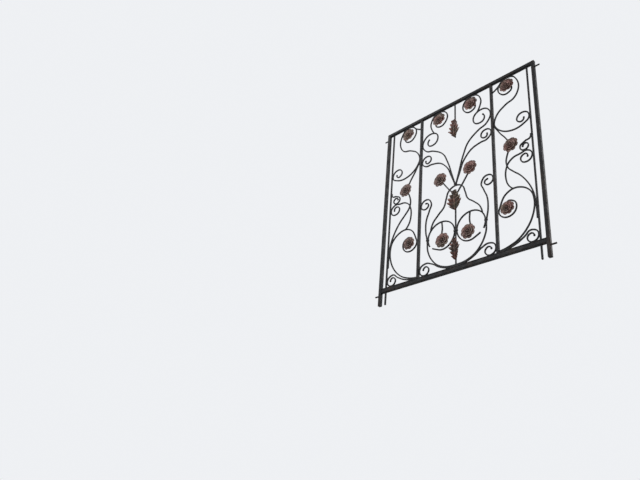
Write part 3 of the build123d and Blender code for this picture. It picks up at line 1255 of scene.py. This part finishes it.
@dataclass
class Ironwork:
    """The forged scroll bars, drawn along their lines with a soft-edged square section."""

    pattern: ScrollPattern
    finishes: Finishes
    corner: float = 0.0014
    pitch: float = 0.004
    waver: float = 0.0006
    waver_scale: float = 45.0
    thinning: float = 0.012
    knob_radius: float = 0.0082
    knob_flat: float = 0.78
    tree: bpy.types.NodeTree = field(init=False)

    def __post_init__(self) -> None:
        """Builds the node tree that forges bars."""
        self.tree = self.forge()

    def forge(self) -> bpy.types.NodeTree:
        """Builds the tree: a square section with soft corners, drawn along each line and a little uneven.

        Returns:
            The node tree.
        """
        work = NodeTree("forged_bars")
        side, corner, pitch = work.ask("Bar side"), work.ask("Corner radius"), work.ask("Pitch")
        waver, scale = work.ask("Waver"), work.ask("Waver scale")
        radius, finish = work.ask("Knob radius"), work.ask("Finish", "Material")
        even = work.get("GeometryNodeResampleCurve", {"mode": "LENGTH"}, Curve=work.given, Length=pitch)
        upright = work.get("GeometryNodeSetCurveNormal", {"mode": "FREE"}, Curve=even, Normal=(0, 1, 0))
        section = work.eased_frame(side, side, corner)
        drawn = work.get("GeometryNodeCurveToMesh", Curve=upright, Profile_Curve=section, Fill_Caps=True)
        bars = work.rippled(drawn, waver, scale, 2.0)
        return work.close(work.together(bars, self.knobs(work, even, radius)), finish)

    def knobs(self, work: NodeTree, lines: Socket, radius: Socket) -> Socket:
        """Wires the round knobs on the thickened ends of the curls.

        Args:
            work: The tree to wire in.
            lines: The bars' centre lines.
            radius: The knobs' radius.

        Returns:
            The knobs.
        """
        ends = work.get("GeometryNodeCurveEndpointSelection", Start_Size=1, End_Size=1)
        over = {"data_type": "FLOAT", "operation": "GREATER_THAN"}
        limit = (End.PLAIN.value + End.KNOBBED.value) / 2
        thick = work.in_order("FunctionNodeCompare", over, work.get("GeometryNodeInputRadius"), limit)
        knobbed = work.in_order("FunctionNodeBooleanMath", {"operation": "AND"}, ends, thick)
        ball = work.get("GeometryNodeMeshUVSphere", Segments=20, Rings=12, Radius=radius)
        flat = work.get("GeometryNodeTransform", Geometry=ball, Scale=(1, self.knob_flat, 1))
        return work.get("GeometryNodeInstanceOnPoints", Points=lines, Instance=flat, Selection=knobbed)

    def piece(self, node: str, *lines: BarLine) -> None:
        """Forges the bars of one node.

        Args:
            node: The plain solid that they stand for.
            lines: The bars.
        """
        curve = bpy.data.curves.new(f"{node}_lines", "CURVE")
        curve.dimensions = "3D"
        for index, line in enumerate(lines):
            weight = 1 - self.thinning * index
            SmoothLine(line.points).spline(curve, line.first.value, line.last.value, weight)
        bars = grown(
            linked(f"{node}_lines", curve),
            self.tree,
            f"{node}_bars",
            Bar_side=self.pattern.bays.bar,
            Corner_radius=self.corner,
            Pitch=self.pitch,
            Waver=self.waver,
            Waver_scale=self.waver_scale,
            Knob_radius=self.knob_radius,
            Finish=self.finishes.of(Slot.SCROLL),
        )
        keep_flats(bars)
        hand_over(bars, Slot.SCROLL, node)

    def build(self) -> None:
        """Forges the bars on the axis and across it, and then those of each half."""
        pattern, bays, knob = self.pattern, self.pattern.bays, End.KNOBBED
        rail_top, rail_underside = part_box("bottom_rail")[1].z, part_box("top_rail")[0].z
        self.piece("base_scroll", BarLine(pattern.mirrored(pattern.base), knob, knob))
        self.piece("lyre_scroll", BarLine(pattern.mirrored(pattern.lyre), knob, knob))
        self.piece("lower_axis_bar", BarLine(pattern.upright(rail_top, bays.level(0.41))))
        top = pattern.upright(bays.level(0.77), rail_underside)
        self.piece("top_axis_bar", BarLine(top, first=End.TAPERED))
        stems = BarLine(pattern.mirrored(pattern.flower_stem))
        self.piece("tulip_frame", BarLine(pattern.mirrored(pattern.tulip)), stems)
        for side in Side:
            self.half(side)

    def half(self, side: Side) -> None:
        """Forges the bars of one half.

        Args:
            side: The half of the grille.
        """
        pattern, word, knob, thin = self.pattern, side.word, End.KNOBBED, End.TAPERED
        ring, tendril = BarLine(pattern.ring_bar(side), thin), BarLine(pattern.tendril(side))
        self.piece(f"{word}_ring_scroll", ring, tendril)
        high, spray = BarLine(pattern.high(side), knob), BarLine(pattern.spray(side), knob)
        self.piece(f"{word}_high_scroll", high, spray)
        self.piece(f"{word}_crown_spiral", BarLine(pattern.crown(side)))
        stem, leaf_scroll = BarLine(pattern.stem(side), first=thin), BarLine(pattern.leaf_scroll(side), knob)
        self.piece(f"{word}_stem", stem, leaf_scroll)
        spiral, low = BarLine(pattern.foot_spiral(side)), BarLine(pattern.low(side), knob)
        self.piece(f"{word}_foot_scrolls", spiral, low)
        self.piece(f"{word}_loop", BarLine(pattern.loop(side), knob, thin))
        tall, strut = BarLine(pattern.tall(side)), BarLine(pattern.strut(side))
        self.piece(f"{word}_tall_spiral", tall, strut, BarLine(pattern.upcurl(side), knob))


@dataclass
class Joinery:
    """Forged collars round bars that run side by side, and weld beads where curls touch."""

    pattern: ScrollPattern
    finishes: Finishes
    band_height: float = 0.012
    band_thickness: float = 0.0022
    band_corner: float = 0.0008
    clearance: float = 0.0003
    spray_lift: float = 1.3
    bead_radius: float = 0.0058
    bead_reach: float = 1.12
    bead_waver: float = 0.0024
    bead_scale: float = 230.0
    seed: int = 5

    def band(self) -> bpy.types.NodeTree:
        """Builds the tree: a flat band bent round a bundle of bars, at every given point.

        Returns:
            The node tree.
        """
        work = NodeTree("bound_collars")
        width, depth = work.ask("Bundle width"), work.ask("Bundle depth")
        height, thickness = work.ask("Band height"), work.ask("Band thickness")
        corner, finish = work.ask("Corner radius"), work.ask("Finish", "Material")
        way_round = work.eased_frame(width, depth, thickness, 4)
        upright = work.get("GeometryNodeSetCurveNormal", {"mode": "Z_UP"}, Curve=way_round)
        section = work.eased_frame(thickness, height, corner)
        band = work.get("GeometryNodeCurveToMesh", Curve=upright, Profile_Curve=section)
        return work.close(work.get("GeometryNodeInstanceOnPoints", Points=work.given, Instance=band), finish)

    def beads(self) -> bpy.types.NodeTree:
        """Builds the tree: an uneven bead of weld at every given point, each turned its own way.

        Returns:
            The node tree.
        """
        work = NodeTree("weld_beads")
        radius, reach, waver = work.ask("Radius"), work.ask("Reach"), work.ask("Waver")
        seed, finish = work.ask("Seed", "Int"), work.ask("Finish", "Material")
        ball = work.get("GeometryNodeMeshUVSphere", Segments=18, Rings=12, Radius=radius)
        turn = work.get("ShaderNodeCombineXYZ", Y=work.stray(0.0, math.tau, seed))
        long_way = work.get("ShaderNodeCombineXYZ", X=1.0, Y=reach, Z=1.0)
        placed = work.get(
            "GeometryNodeInstanceOnPoints", Points=work.given, Instance=ball, Rotation=turn, Scale=long_way
        )
        real = work.get("GeometryNodeRealizeInstances", Geometry=placed)
        return work.close(work.rippled(real, waver, self.bead_scale, 1.0), finish)

    def bundles(self) -> dict[str, tuple[int, list[Vector]]]:
        """How many bars each kind of collar binds, and where.

        Returns:
            A number of bars and the places, by name.
        """
        pattern, bays = self.pattern, self.pattern.bays
        rings = [pattern.ring_eye(side) for side in Side]
        outside = pattern.ring.radius + bays.kiss / 2
        beside_lyre = [eye + Vector((side.value * outside, 0)) for side, eye in zip(Side, rings)]
        head = bays.level(pattern.tulip_head[1]) + self.spray_lift * self.band_height
        return {
            "ring_collar": (3, [Vector((bays.axis, rings[0].y))]),
            "lyre_collars": (2, beside_lyre),
            "spray_collar": (2, [Vector((bays.axis, head))]),
        }

    def place(self, name: str, tree: bpy.types.NodeTree, places: list[Vector], **sizes: object) -> None:
        """Sets one kind of joint at its places.

        Args:
            name: The piece's name.
            tree: The tree that makes it.
            places: Its places in the elevation.
            sizes: The tree's inputs.
        """
        marks = dots(f"{name}_marks", [(place.x, 0, place.y) for place in places])
        finish = self.finishes.of(Slot.SCROLL)
        hand_over(grown(marks, tree, name, Finish=finish, **sizes), Slot.SCROLL)

    def build(self) -> None:
        """Binds the bundles and then welds the scrollwork."""
        band, wrap = self.band(), self.band_thickness + 2 * self.clearance
        for name, (bars, places) in self.bundles().items():
            self.place(
                name,
                band,
                places,
                Bundle_width=bars * self.pattern.bays.bar + wrap,
                Bundle_depth=self.pattern.bays.bar + wrap,
                Band_height=self.band_height,
                Band_thickness=self.band_thickness,
                Corner_radius=self.band_corner,
            )
        sizes = {"Radius": self.bead_radius, "Reach": self.bead_reach, "Waver": self.bead_waver}
        places = [place for side in Side for place in self.pattern.touches(side)]
        self.place("weld_beads", self.beads(), places, Seed=self.seed, **sizes)


@dataclass
class OuterFrame:
    """Posts, rails, side bars and pins, with their arrises eased."""

    finishes: Finishes
    easing: float = 0.0014
    pin_easing: float = 0.0008
    segments: int = 2
    weld: float = 1e-6
    flat_angle: float = math.radians(1)
    sharp_angle: float = math.radians(40)
    shortest_edge: float = 2e-5

    def eased(self, node: str, radius: float) -> bpy.types.Object:
        """A copy of a plain solid with soft edges.

        Args:
            node: The plain solid.
            radius: How far each edge is eased.

        Returns:
            The new piece.
        """
        work = bmesh.new()
        work.from_mesh(frame["nodes"][node].data)
        bmesh.ops.remove_doubles(work, verts=work.verts, dist=self.weld)
        bmesh.ops.dissolve_limit(work, angle_limit=self.flat_angle, verts=work.verts, edges=work.edges)
        whole = [edge for edge in work.edges if edge.is_manifold]
        sharp = [edge for edge in whole if edge.calc_face_angle(0) > self.sharp_angle]
        easing = {"offset": radius, "segments": self.segments, "profile": 0.5, "clamp_overlap": True}
        bmesh.ops.bevel(work, geom=sharp, affect="EDGES", **easing)
        bmesh.ops.dissolve_degenerate(work, dist=self.shortest_edge, edges=work.edges)
        return linked(f"{node}_iron", kept(work, f"{node}_iron"))

    def build(self) -> None:
        """Eases and paints every straight member, and then the pins."""
        straight = ["top_rail", "bottom_rail"]
        straight += [f"{side.word}_{part}" for side in Side for part in ("post", "inner_post", "side_bar")]
        pins = [f"{side.word}_wall_pins" for side in Side]
        for slot, easing, nodes in ((Slot.FRAME, self.easing, straight), (Slot.PIN, self.pin_easing, pins)):
            for node in nodes:
                piece = self.eased(node, easing)
                piece.data.materials.append(self.finishes.of(slot))
                keep_flats(piece)
                hand_over(piece, slot, node)


@dataclass(frozen=True)
class Petal:
    """One stamped petal, lying outwards along X with its face up Z, in shares of the rosette's radius."""

    length: float
    width: float
    cup: float
    lift: float
    rows: int = 8
    columns: int = 10
    droop: float = 0.78
    vein_depth: float = 0.16
    vein_width: float = 0.16
    ruffle_depth: float = 0.07
    ruffles: float = 4.5
    waist: float = 0.34
    shoulder: float = 0.7
    rounding: float = 0.26
    notch_depth: float = 0.06
    notch_width: float = 0.2
    # Crest shares, which set the petal's painted shade at its root and painted highlight at its tip.
    crest_middle: float = 0.55
    crest_power: float = 0.8

    def height(self, along: float, across: float) -> float:
        """Height of the petal's face.

        Args:
            along: Share of its length.
            across: Share of its half width, from -1 to 1.

        Returns:
            The height.
        """
        crown = self.cup * math.sin(math.pi * self.droop * along)
        rolled = self.lift * across * across * along
        vein = self.vein_depth * self.cup * math.exp(-((across / self.vein_width) ** 2))
        vein *= math.sin(math.pi * along)
        ruffle = self.ruffle_depth * self.cup * math.sin(across * self.ruffles * math.pi) * along * along
        return crown + rolled - vein + ruffle

    def outline(self, along: float, across: float) -> Share:
        """Place of a point in plan, with a rounded and slightly notched tip.

        Args:
            along: Share of its length.
            across: Share of its half width, from -1 to 1.

        Returns:
            How far out and how far aside it lies.
        """
        flare = self.waist + (1 - self.waist) * math.sin(math.pi / 2 * min(1.0, along / self.shoulder))
        rounded = 1 - self.rounding * across * across * along * along
        notch = self.notch_depth * math.exp(-((across / self.notch_width) ** 2)) * along**6
        return self.length * (along * rounded - notch), self.width / 2 * across * flare

    def mesh(self, name: str, radius: float) -> bpy.types.Mesh:
        """Builds the petal.

        Args:
            name: The mesh's name.
            radius: The rosette's radius.

        Returns:
            The petal's mesh, of a single skin.
        """

        def point(along: float, across: float) -> tuple[Vector, float]:
            """A point of the petal.

            Args:
                along: Share of its length.
                across: Share of its half width, from -1 to 1.

            Returns:
                The place and how far it stands out.
            """
            place = Vector((*self.outline(along, across), self.height(along, across))) * radius
            # The crest is low at the petal's root, which takes the painted shade and dark patina of the
            # hollows, and high at its tip and edges, which take the painted highlight and rubbed metal.
            aside = self.crest_middle + (1 - self.crest_middle) * abs(across)
            return place, along**self.crest_power * aside

        return skin(name, self.rows, self.columns, point, front=False)


@dataclass(frozen=True)
class PetalRing:
    """How a ring of petals stands on a rosette."""

    petal: Petal
    count: int
    root: float
    rise: float
    tilt: float
    turn: float


@dataclass
class Rosettes:
    """Stamped copper roses in mirrored pairs on the ends of the bars."""

    finishes: Finishes
    wobble: float = 0.05
    swing: float = 0.35
    sheet: float = 0.0009
    bud_share: float = 0.17
    bud_bands: int = 12
    bud_around: int = 20
    bud_flat: float = 0.92
    bud_fold: float = 0.13
    bud_wraps: int = 3
    bud_twist: float = 5
    # Crest of the bud's creases and how much its ridges rise above them, which set its painted shade and
    # painted highlight.
    bud_crest: Share = (0.25, 0.6)
    cup_depth: float = 0.35
    cup_foot: float = 1.1
    cup_rim: float = 1.8
    # A low crest, so that the cup takes the near-black of the hollows as painted shade behind the petals.
    cup_crest: float = 0.05
    snug: float = 0.9
    snug_pair: str = "foot"
    pairs: tuple[str, ...] = ("ring", "stem", "crown", "foot", "side", "top")
    first_seed: int = 3
    rings: tuple[PetalRing, ...] = (
        PetalRing(Petal(0.82, 0.68, 0.11, 0.05), 8, 0.16, 0.03, 0, 22.5),
        PetalRing(Petal(0.58, 0.58, 0.09, 0.05), 7, 0.13, 0.07, 9, 0),
        PetalRing(Petal(0.35, 0.4, 0.07, 0.045), 6, 0.095, 0.105, 18, 14),
    )
    radius: float = field(init=False)

    def __post_init__(self) -> None:
        """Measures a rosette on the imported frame."""
        low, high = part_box(f"{self.pairs[0]}_rosettes")
        self.radius = (high.z - low.z) / 2

    def arranged(self) -> bpy.types.NodeTree:
        """Builds the tree: rings of petals about a bud, set on each seat with a slightly different turn.

        Returns:
            The node tree.
        """
        work = NodeTree("petal_rings")
        finish, seed = work.ask("Finish", "Material"), work.ask("Seed", "Int")
        wobble, size, bud = work.ask("Wobble"), work.ask("Size"), work.ask("Bud", "Object")
        parts = [work.put("GeometryNodeObjectInfo", Object=bud).outputs["Geometry"]]
        parts += [self.ring_of(work, number, seed, wobble) for number in range(1, len(self.rings) + 1)]
        turn = work.get("ShaderNodeCombineXYZ", X=math.pi / 2, Y=work.stray(-self.swing, self.swing, seed))
        placed = work.get(
            "GeometryNodeInstanceOnPoints",
            Points=work.given,
            Instance=work.together(*parts),
            Rotation=turn,
            Scale=size,
        )
        return work.close(placed, finish)

    def ring_of(self, work: NodeTree, number: int, seed: Socket, wobble: Socket) -> Socket:
        """Wires one ring of petals, with an input for its petal and one for how many it has.

        Args:
            work: The tree to wire in.
            number: The ring's number, from 1 for the outer one.
            seed: Seed of the petals' small differences.
            wobble: How far a petal's tilt may stray, in radians.

        Returns:
            The ring's geometry.
        """
        ring = self.rings[number - 1]
        petal, count = work.ask(f"Petal {number}", "Object"), work.ask(f"Count {number}", "Int")
        model = work.put("GeometryNodeObjectInfo", Object=petal).outputs["Geometry"]
        circle = work.get("GeometryNodeMeshCircle", Radius=ring.root * self.radius, Vertices=count)
        lift = (0, 0, ring.rise * self.radius)
        roots = work.get("GeometryNodeTransform", Geometry=circle, Translation=lift)
        spacing = work.maths("DIVIDE", math.tau, count)
        angle = work.maths("MULTIPLY", work.get("GeometryNodeInputIndex"), spacing)
        stray = work.stray(work.maths("MULTIPLY", wobble, -1), wobble, seed)
        tilt = work.maths("SUBTRACT", -math.radians(ring.tilt), stray)
        turned = work.get("ShaderNodeCombineXYZ", Y=tilt, Z=angle)
        set_out = work.get("GeometryNodeInstanceOnPoints", Points=roots, Instance=model, Rotation=turned)
        return work.get("GeometryNodeTransform", Geometry=set_out, Rotation=(0, 0, math.radians(ring.turn)))

    def bud(self) -> bpy.types.Object:
        """The wrapped bud in the middle and the cup behind the petals, painted near-black as the shade there.

        Returns:
            The bud, which the node tree copies.
        """
        work = bmesh.new()
        crest = work.verts.layers.float.new("crest")
        bud = self.bud_share * self.radius
        add_ball(work, bud, self.bud_bands, self.bud_around)
        for vert in work.verts:
            angle = math.atan2(vert.co.y, vert.co.x)
            fold = 0.5 + 0.5 * math.sin(self.bud_wraps * angle + self.bud_twist * vert.co.z / bud)
            out = math.hypot(vert.co.x, vert.co.y) / bud
            vert.co *= 1 + self.bud_fold * fold * out
            # The bud's creases take the painted shade and dark patina of the hollows; its ridges come out
            # lighter.
            vert[crest] = self.bud_crest[0] + self.bud_crest[1] * fold
            vert.co.z = self.bud_flat * (vert.co.z + bud)
        before = set(work.verts)
        depth = self.cup_depth * bud
        lifted = Matrix.Translation((0, 0, depth / 2))
        sizes = {"radius1": self.cup_foot * bud, "radius2": self.cup_rim * bud, "depth": depth}
        bmesh.ops.create_cone(work, cap_ends=True, segments=24, matrix=lifted, **sizes)
        for vert in set(work.verts) - before:
            # The cup is painted near-black as the shade behind the petals.
            vert[crest] = self.cup_crest
        return linked("rosette_bud", kept(work, "rosette_bud"))

    def seats(self, node: str) -> bpy.types.Object:
        """Two points, at the middles of the backs of a pair.

        Args:
            node: The pair's plain solids.

        Returns:
            The points.
        """
        low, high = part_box(node)
        height = low.z + self.radius
        sides = (low.x + self.radius, high.x - self.radius)
        return dots(f"{node}_seats", [(side, high.y, height) for side in sides])

    def build(self) -> None:
        """Stamps the petals and the bud, and sets out every pair of rosettes."""
        tree, bud = self.arranged(), self.bud()
        petals, values = [], {"Wobble": self.wobble, "Bud": bud, "Finish": self.finishes.of(Slot.ROSETTE)}
        for number, ring in enumerate(self.rings, 1):
            name = f"petal_{number}"
            petals.append(linked(name, ring.petal.mesh(name, self.radius)))
            thicken(petals[-1], self.sheet)
            values |= {f"Petal_{number}": petals[-1], f"Count_{number}": ring.count}
        for seed, pair in enumerate(self.pairs, self.first_seed):
            size = self.snug if pair == self.snug_pair else 1.0
            seats = self.seats(f"{pair}_rosettes")
            piece = grown(seats, tree, f"{pair}_roses", Seed=seed, Size=size, **values)
            hand_over(piece, Slot.ROSETTE, f"{pair}_rosettes")
        for spare in (bud, *petals):
            bpy.data.objects.remove(spare)


@dataclass(frozen=True)
class LeafShape:
    """One acanthus leaf: its node and the tips and notches of one edge, as shares of its height."""

    node: str
    edge: tuple[Share, ...]

    def reach(self, up: float) -> Share:
        """Half width of the leaf and how near a height lies to a lobe's tip.

        Args:
            up: Share of the leaf's height.

        Returns:
            The half width as a share of the height, and 1 at a tip down to 0 at a notch.
        """
        pairs = list(zip(self.edge, self.edge[1:]))
        (out_a, up_a), (out_b, up_b) = next((pair for pair in pairs if up <= pair[1][1]), pairs[-1])
        turn = math.pi / 2 * max(0.0, min(1.0, (up - up_a) / (up_b - up_a)))
        swelling = out_b > out_a
        eased = math.sin(turn) if swelling else 1 - math.cos(turn)
        return out_a + (out_b - out_a) * eased, eased if swelling else 1 - eased


@dataclass
class Leaves:
    """Acanthus leaves of copper sheet, bowed out in front of the axis bars."""

    finishes: Finishes
    rows: int = 96
    columns: int = 36
    sheet: float = 0.0014
    belly: float = 0.6
    bow: float = 0.009
    fold: float = 0.0085
    stand: float = 0.45
    rib: float = 0.5
    rib_width: float = 0.1
    rib_fading: float = 0.5
    groove: float = 0.3
    groove_place: float = 0.22
    groove_width: float = 0.09
    ridge_slope: float = 1.6
    notch_sink: float = 0.6
    vein: float = 0.25
    vein_width: float = 0.14
    vein_slope: float = 3
    curled: float = 0.3
    sweep: float = 0.5
    sweep_fading: float = 0.6
    sweep_power: float = 1.4
    scallops: int = 16
    scallop_depth: float = 0.08
    narrowest: float = 0.004
    # Crest values, which set where the leaf takes painted shade and where a painted highlight.
    plain_crest: float = 0.2
    lobe_crest: float = 0.5
    rib_crest: float = 0.4
    shapes: tuple[LeafShape, ...] = (
        LeafShape(
            "lower_leaf",
            ((0.04, 0), (0.16, 0.1), (0.11, 0.16), (0.2, 0.29), (0.14, 0.36), (0.27, 0.49), (0.17, 0.56))
            + ((0.21, 0.67), (0.11, 0.73), (0.12, 0.85), (0, 1)),
        ),
        LeafShape(
            "middle_leaf",
            ((0.05, 0), (0.29, 0.09), (0.22, 0.14), (0.37, 0.27), (0.26, 0.34), (0.32, 0.49), (0.2, 0.56))
            + ((0.23, 0.69), (0.12, 0.75), (0.14, 0.86), (0, 1)),
        ),
        LeafShape(
            "top_leaf",
            ((0.04, 0), (0.16, 0.08), (0.12, 0.12), (0.31, 0.24), (0.17, 0.31), (0.25, 0.46), (0.15, 0.54))
            + ((0.2, 0.69), (0.12, 0.76), (0.14, 0.87), (0, 1)),
        ),
    )

    def depth(self, up: float, across: float, tip: float) -> float:
        """How far the leaf stands out from its back.

        Args:
            up: Share of its height.
            across: Share of its half width, from -1 to 1.
            tip: 1 at a lobe's tip and 0 at a notch.

        Returns:
            The depth in metres.
        """
        aside = abs(across)
        bowed = self.bow * math.sin(math.pi * min(1.0, up / (2 * self.belly)))
        rib = self.rib * math.exp(-((across / self.rib_width) ** 2)) * (1 - self.rib_fading * up)
        groove = self.groove * math.exp(-(((aside - self.groove_place) / self.groove_width) ** 2))
        ridge = min(1.0, self.ridge_slope * aside) * (tip - self.notch_sink)
        vein = self.vein * math.exp(-(((1 - tip) / self.vein_width) ** 2)) * min(1.0, self.vein_slope * aside)
        curled = self.curled * across**4
        return max(0.0, bowed + self.fold * (self.stand + rib - groove + ridge + vein + curled))

    def leaf(self, shape: LeafShape) -> bpy.types.Object:
        """Raises one leaf from its edge.

        Args:
            shape: The leaf's node and edge.

        Returns:
            The new piece.
        """
        low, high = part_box(shape.node)
        height, middle = high.z - low.z, (low.x + high.x) / 2

        def point(up: float, across: float) -> tuple[Vector, float]:
            """A point of the leaf.

            Args:
                up: Share of its height.
                across: Share of its half width, from -1 to 1.

            Returns:
                The place and how far it stands out.
            """
            out, tip = shape.reach(up)
            scallop = abs(math.sin(math.pi * self.scallops * up))
            out = max(out * (1 - self.scallop_depth * (1 - scallop)), self.narrowest)
            lobe = abs(across) ** self.sweep_power
            rise = up + self.sweep * out * lobe * (1 - self.sweep_fading * up)
            front = max(high.y - self.sheet - self.depth(up, across, tip), low.y + self.sheet / 2)
            # Notches take the painted shade and dark patina of the hollows; lobe tips and the rib take the
            # painted highlight and rubbed metal.
            crest = self.plain_crest + self.lobe_crest * tip * lobe
            crest += self.rib_crest * math.exp(-((across / self.rib_width) ** 2))
            return Vector((middle + across * out * height, front, low.z + rise * height)), crest

        mesh = skin(f"{shape.node}_copper", self.rows, self.columns, point, front=True)
        mesh.materials.append(self.finishes.of(Slot.LEAF))
        return linked(f"{shape.node}_copper", mesh)

    def build(self) -> None:
        """Raises every leaf."""
        for shape in self.shapes:
            piece = self.leaf(shape)
            thicken(piece, self.sheet)
            hand_over(piece, Slot.LEAF, shape.node)


# Stage, light and camera


@dataclass(frozen=True)
class Lamp:
    """One soft square lamp."""

    name: str
    place: Place
    size: float
    power: float

    def hang(self, aim: Place) -> None:
        """Hangs the lamp so that it faces a point.

        Args:
            aim: The point.
        """
        data = bpy.data.lights.new(self.name, "AREA")
        data.shape = "SQUARE"
        data.size = self.size
        data.energy = self.power
        lamp = linked(self.name, data)
        lamp.location = self.place
        lamp.rotation_euler = (Vector(aim) - Vector(self.place)).to_track_quat("-Z", "Y").to_euler()


@dataclass
class Studio:
    """The pale stage, its soft light and the camera, which looks up from below and from the right."""

    floor_height: float = -3.5
    floor_reach: float = 30.0
    sky: Colour = (0.86, 0.875, 0.9)
    sky_strength: float = 0.5
    lens: float = 34.679
    sensor: float = 36
    eye: Place = (2.9566, -3.2553, -1.9416)
    sight: Place = (-0.65761752, 0.57103216, 0.49138729)
    upward: Place = (0.2904936, -0.40961563, 0.86477078)
    aim: Place = (0.7, 0.0, 0.85)
    lamps: tuple[Lamp, ...] = (
        Lamp("key_lamp", (-1.6, -3.2, 3.2), 2.4, 135),
        Lamp("low_lamp", (3.4, -2.6, -0.8), 2.0, 50),
        Lamp("back_lamp", (1.8, 3.0, 2.6), 2.4, 70),
    )

    def camera(self) -> None:
        """Sets the camera where the photograph was taken from."""
        data = bpy.data.cameras.new("low_camera")
        data.lens = self.lens
        data.sensor_width = self.sensor
        camera = linked("low_camera", data)
        sight = Vector(self.sight).normalized()
        right = sight.cross(Vector(self.upward)).normalized()
        turn = Matrix((right, right.cross(sight), -sight)).transposed()
        camera.matrix_world = Matrix.Translation(self.eye) @ turn.to_4x4()
        bpy.context.scene.camera = camera

    def world(self) -> None:
        """Lights the grille from all round, with a pale backdrop behind it."""
        world = bpy.data.worlds.new("pale_sky")
        world.use_nodes = True
        work = Wiring(world.node_tree)
        light = work.tree.nodes["Background"]
        work.feed(light.inputs["Color"], (*self.sky, 1))
        work.feed(light.inputs["Strength"], self.sky_strength)
        seen = work.get("ShaderNodeBackground", Color=(*self.sky, 1))
        both = work.in_order("ShaderNodeMixShader", {}, seen_rays(work), light.outputs[0], seen)
        work.feed(work.tree.nodes["World Output"].inputs[0], both)
        bpy.context.scene.world = world

    def floor(self) -> None:
        """Lays the pale floor under the camera."""
        signs = ((-1, -1), (1, -1), (1, 1), (-1, 1))
        corners = [(x * self.floor_reach, y * self.floor_reach, self.floor_height) for x, y in signs]
        mesh = bpy.data.meshes.new("floor")
        mesh.from_pydata(corners, [], [(0, 1, 2, 3)])
        mesh.materials.append(PalePlaster().material())
        linked("floor", mesh)

    def build(self) -> None:
        """Sets up the camera, the stage and the lamps."""
        self.camera()
        self.world()
        self.floor()
        for lamp in self.lamps:
            lamp.hang(self.aim)
        bpy.context.scene.view_settings.view_transform = "Standard"


def paint_solids(finishes: Finishes) -> None:
    """Gives every plain solid the finish of its material slot.

    Args:
        finishes: The grille's finishes.
    """
    slots = {part["node"]: Slot(part["material_slot"]) for part in frame["record"]["subparts"]}
    for name, node in frame["nodes"].items():
        node.data.materials.clear()
        node.data.materials.append(finishes.of(slots[name]))


def main() -> None:
    """Dresses the grille and sets the stage."""
    logging.basicConfig(level=logging.INFO, format="%(name)s: %(message)s")
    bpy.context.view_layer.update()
    finishes = Finishes.mixed()
    paint_solids(finishes)
    Studio().build()
    OuterFrame(finishes).build()
    pattern = ScrollPattern(Bays())
    Ironwork(pattern, finishes).build()
    Joinery(pattern, finishes).build()
    Rosettes(finishes).build()
    Leaves(finishes).build()


if __name__ == "__main__":
    main()
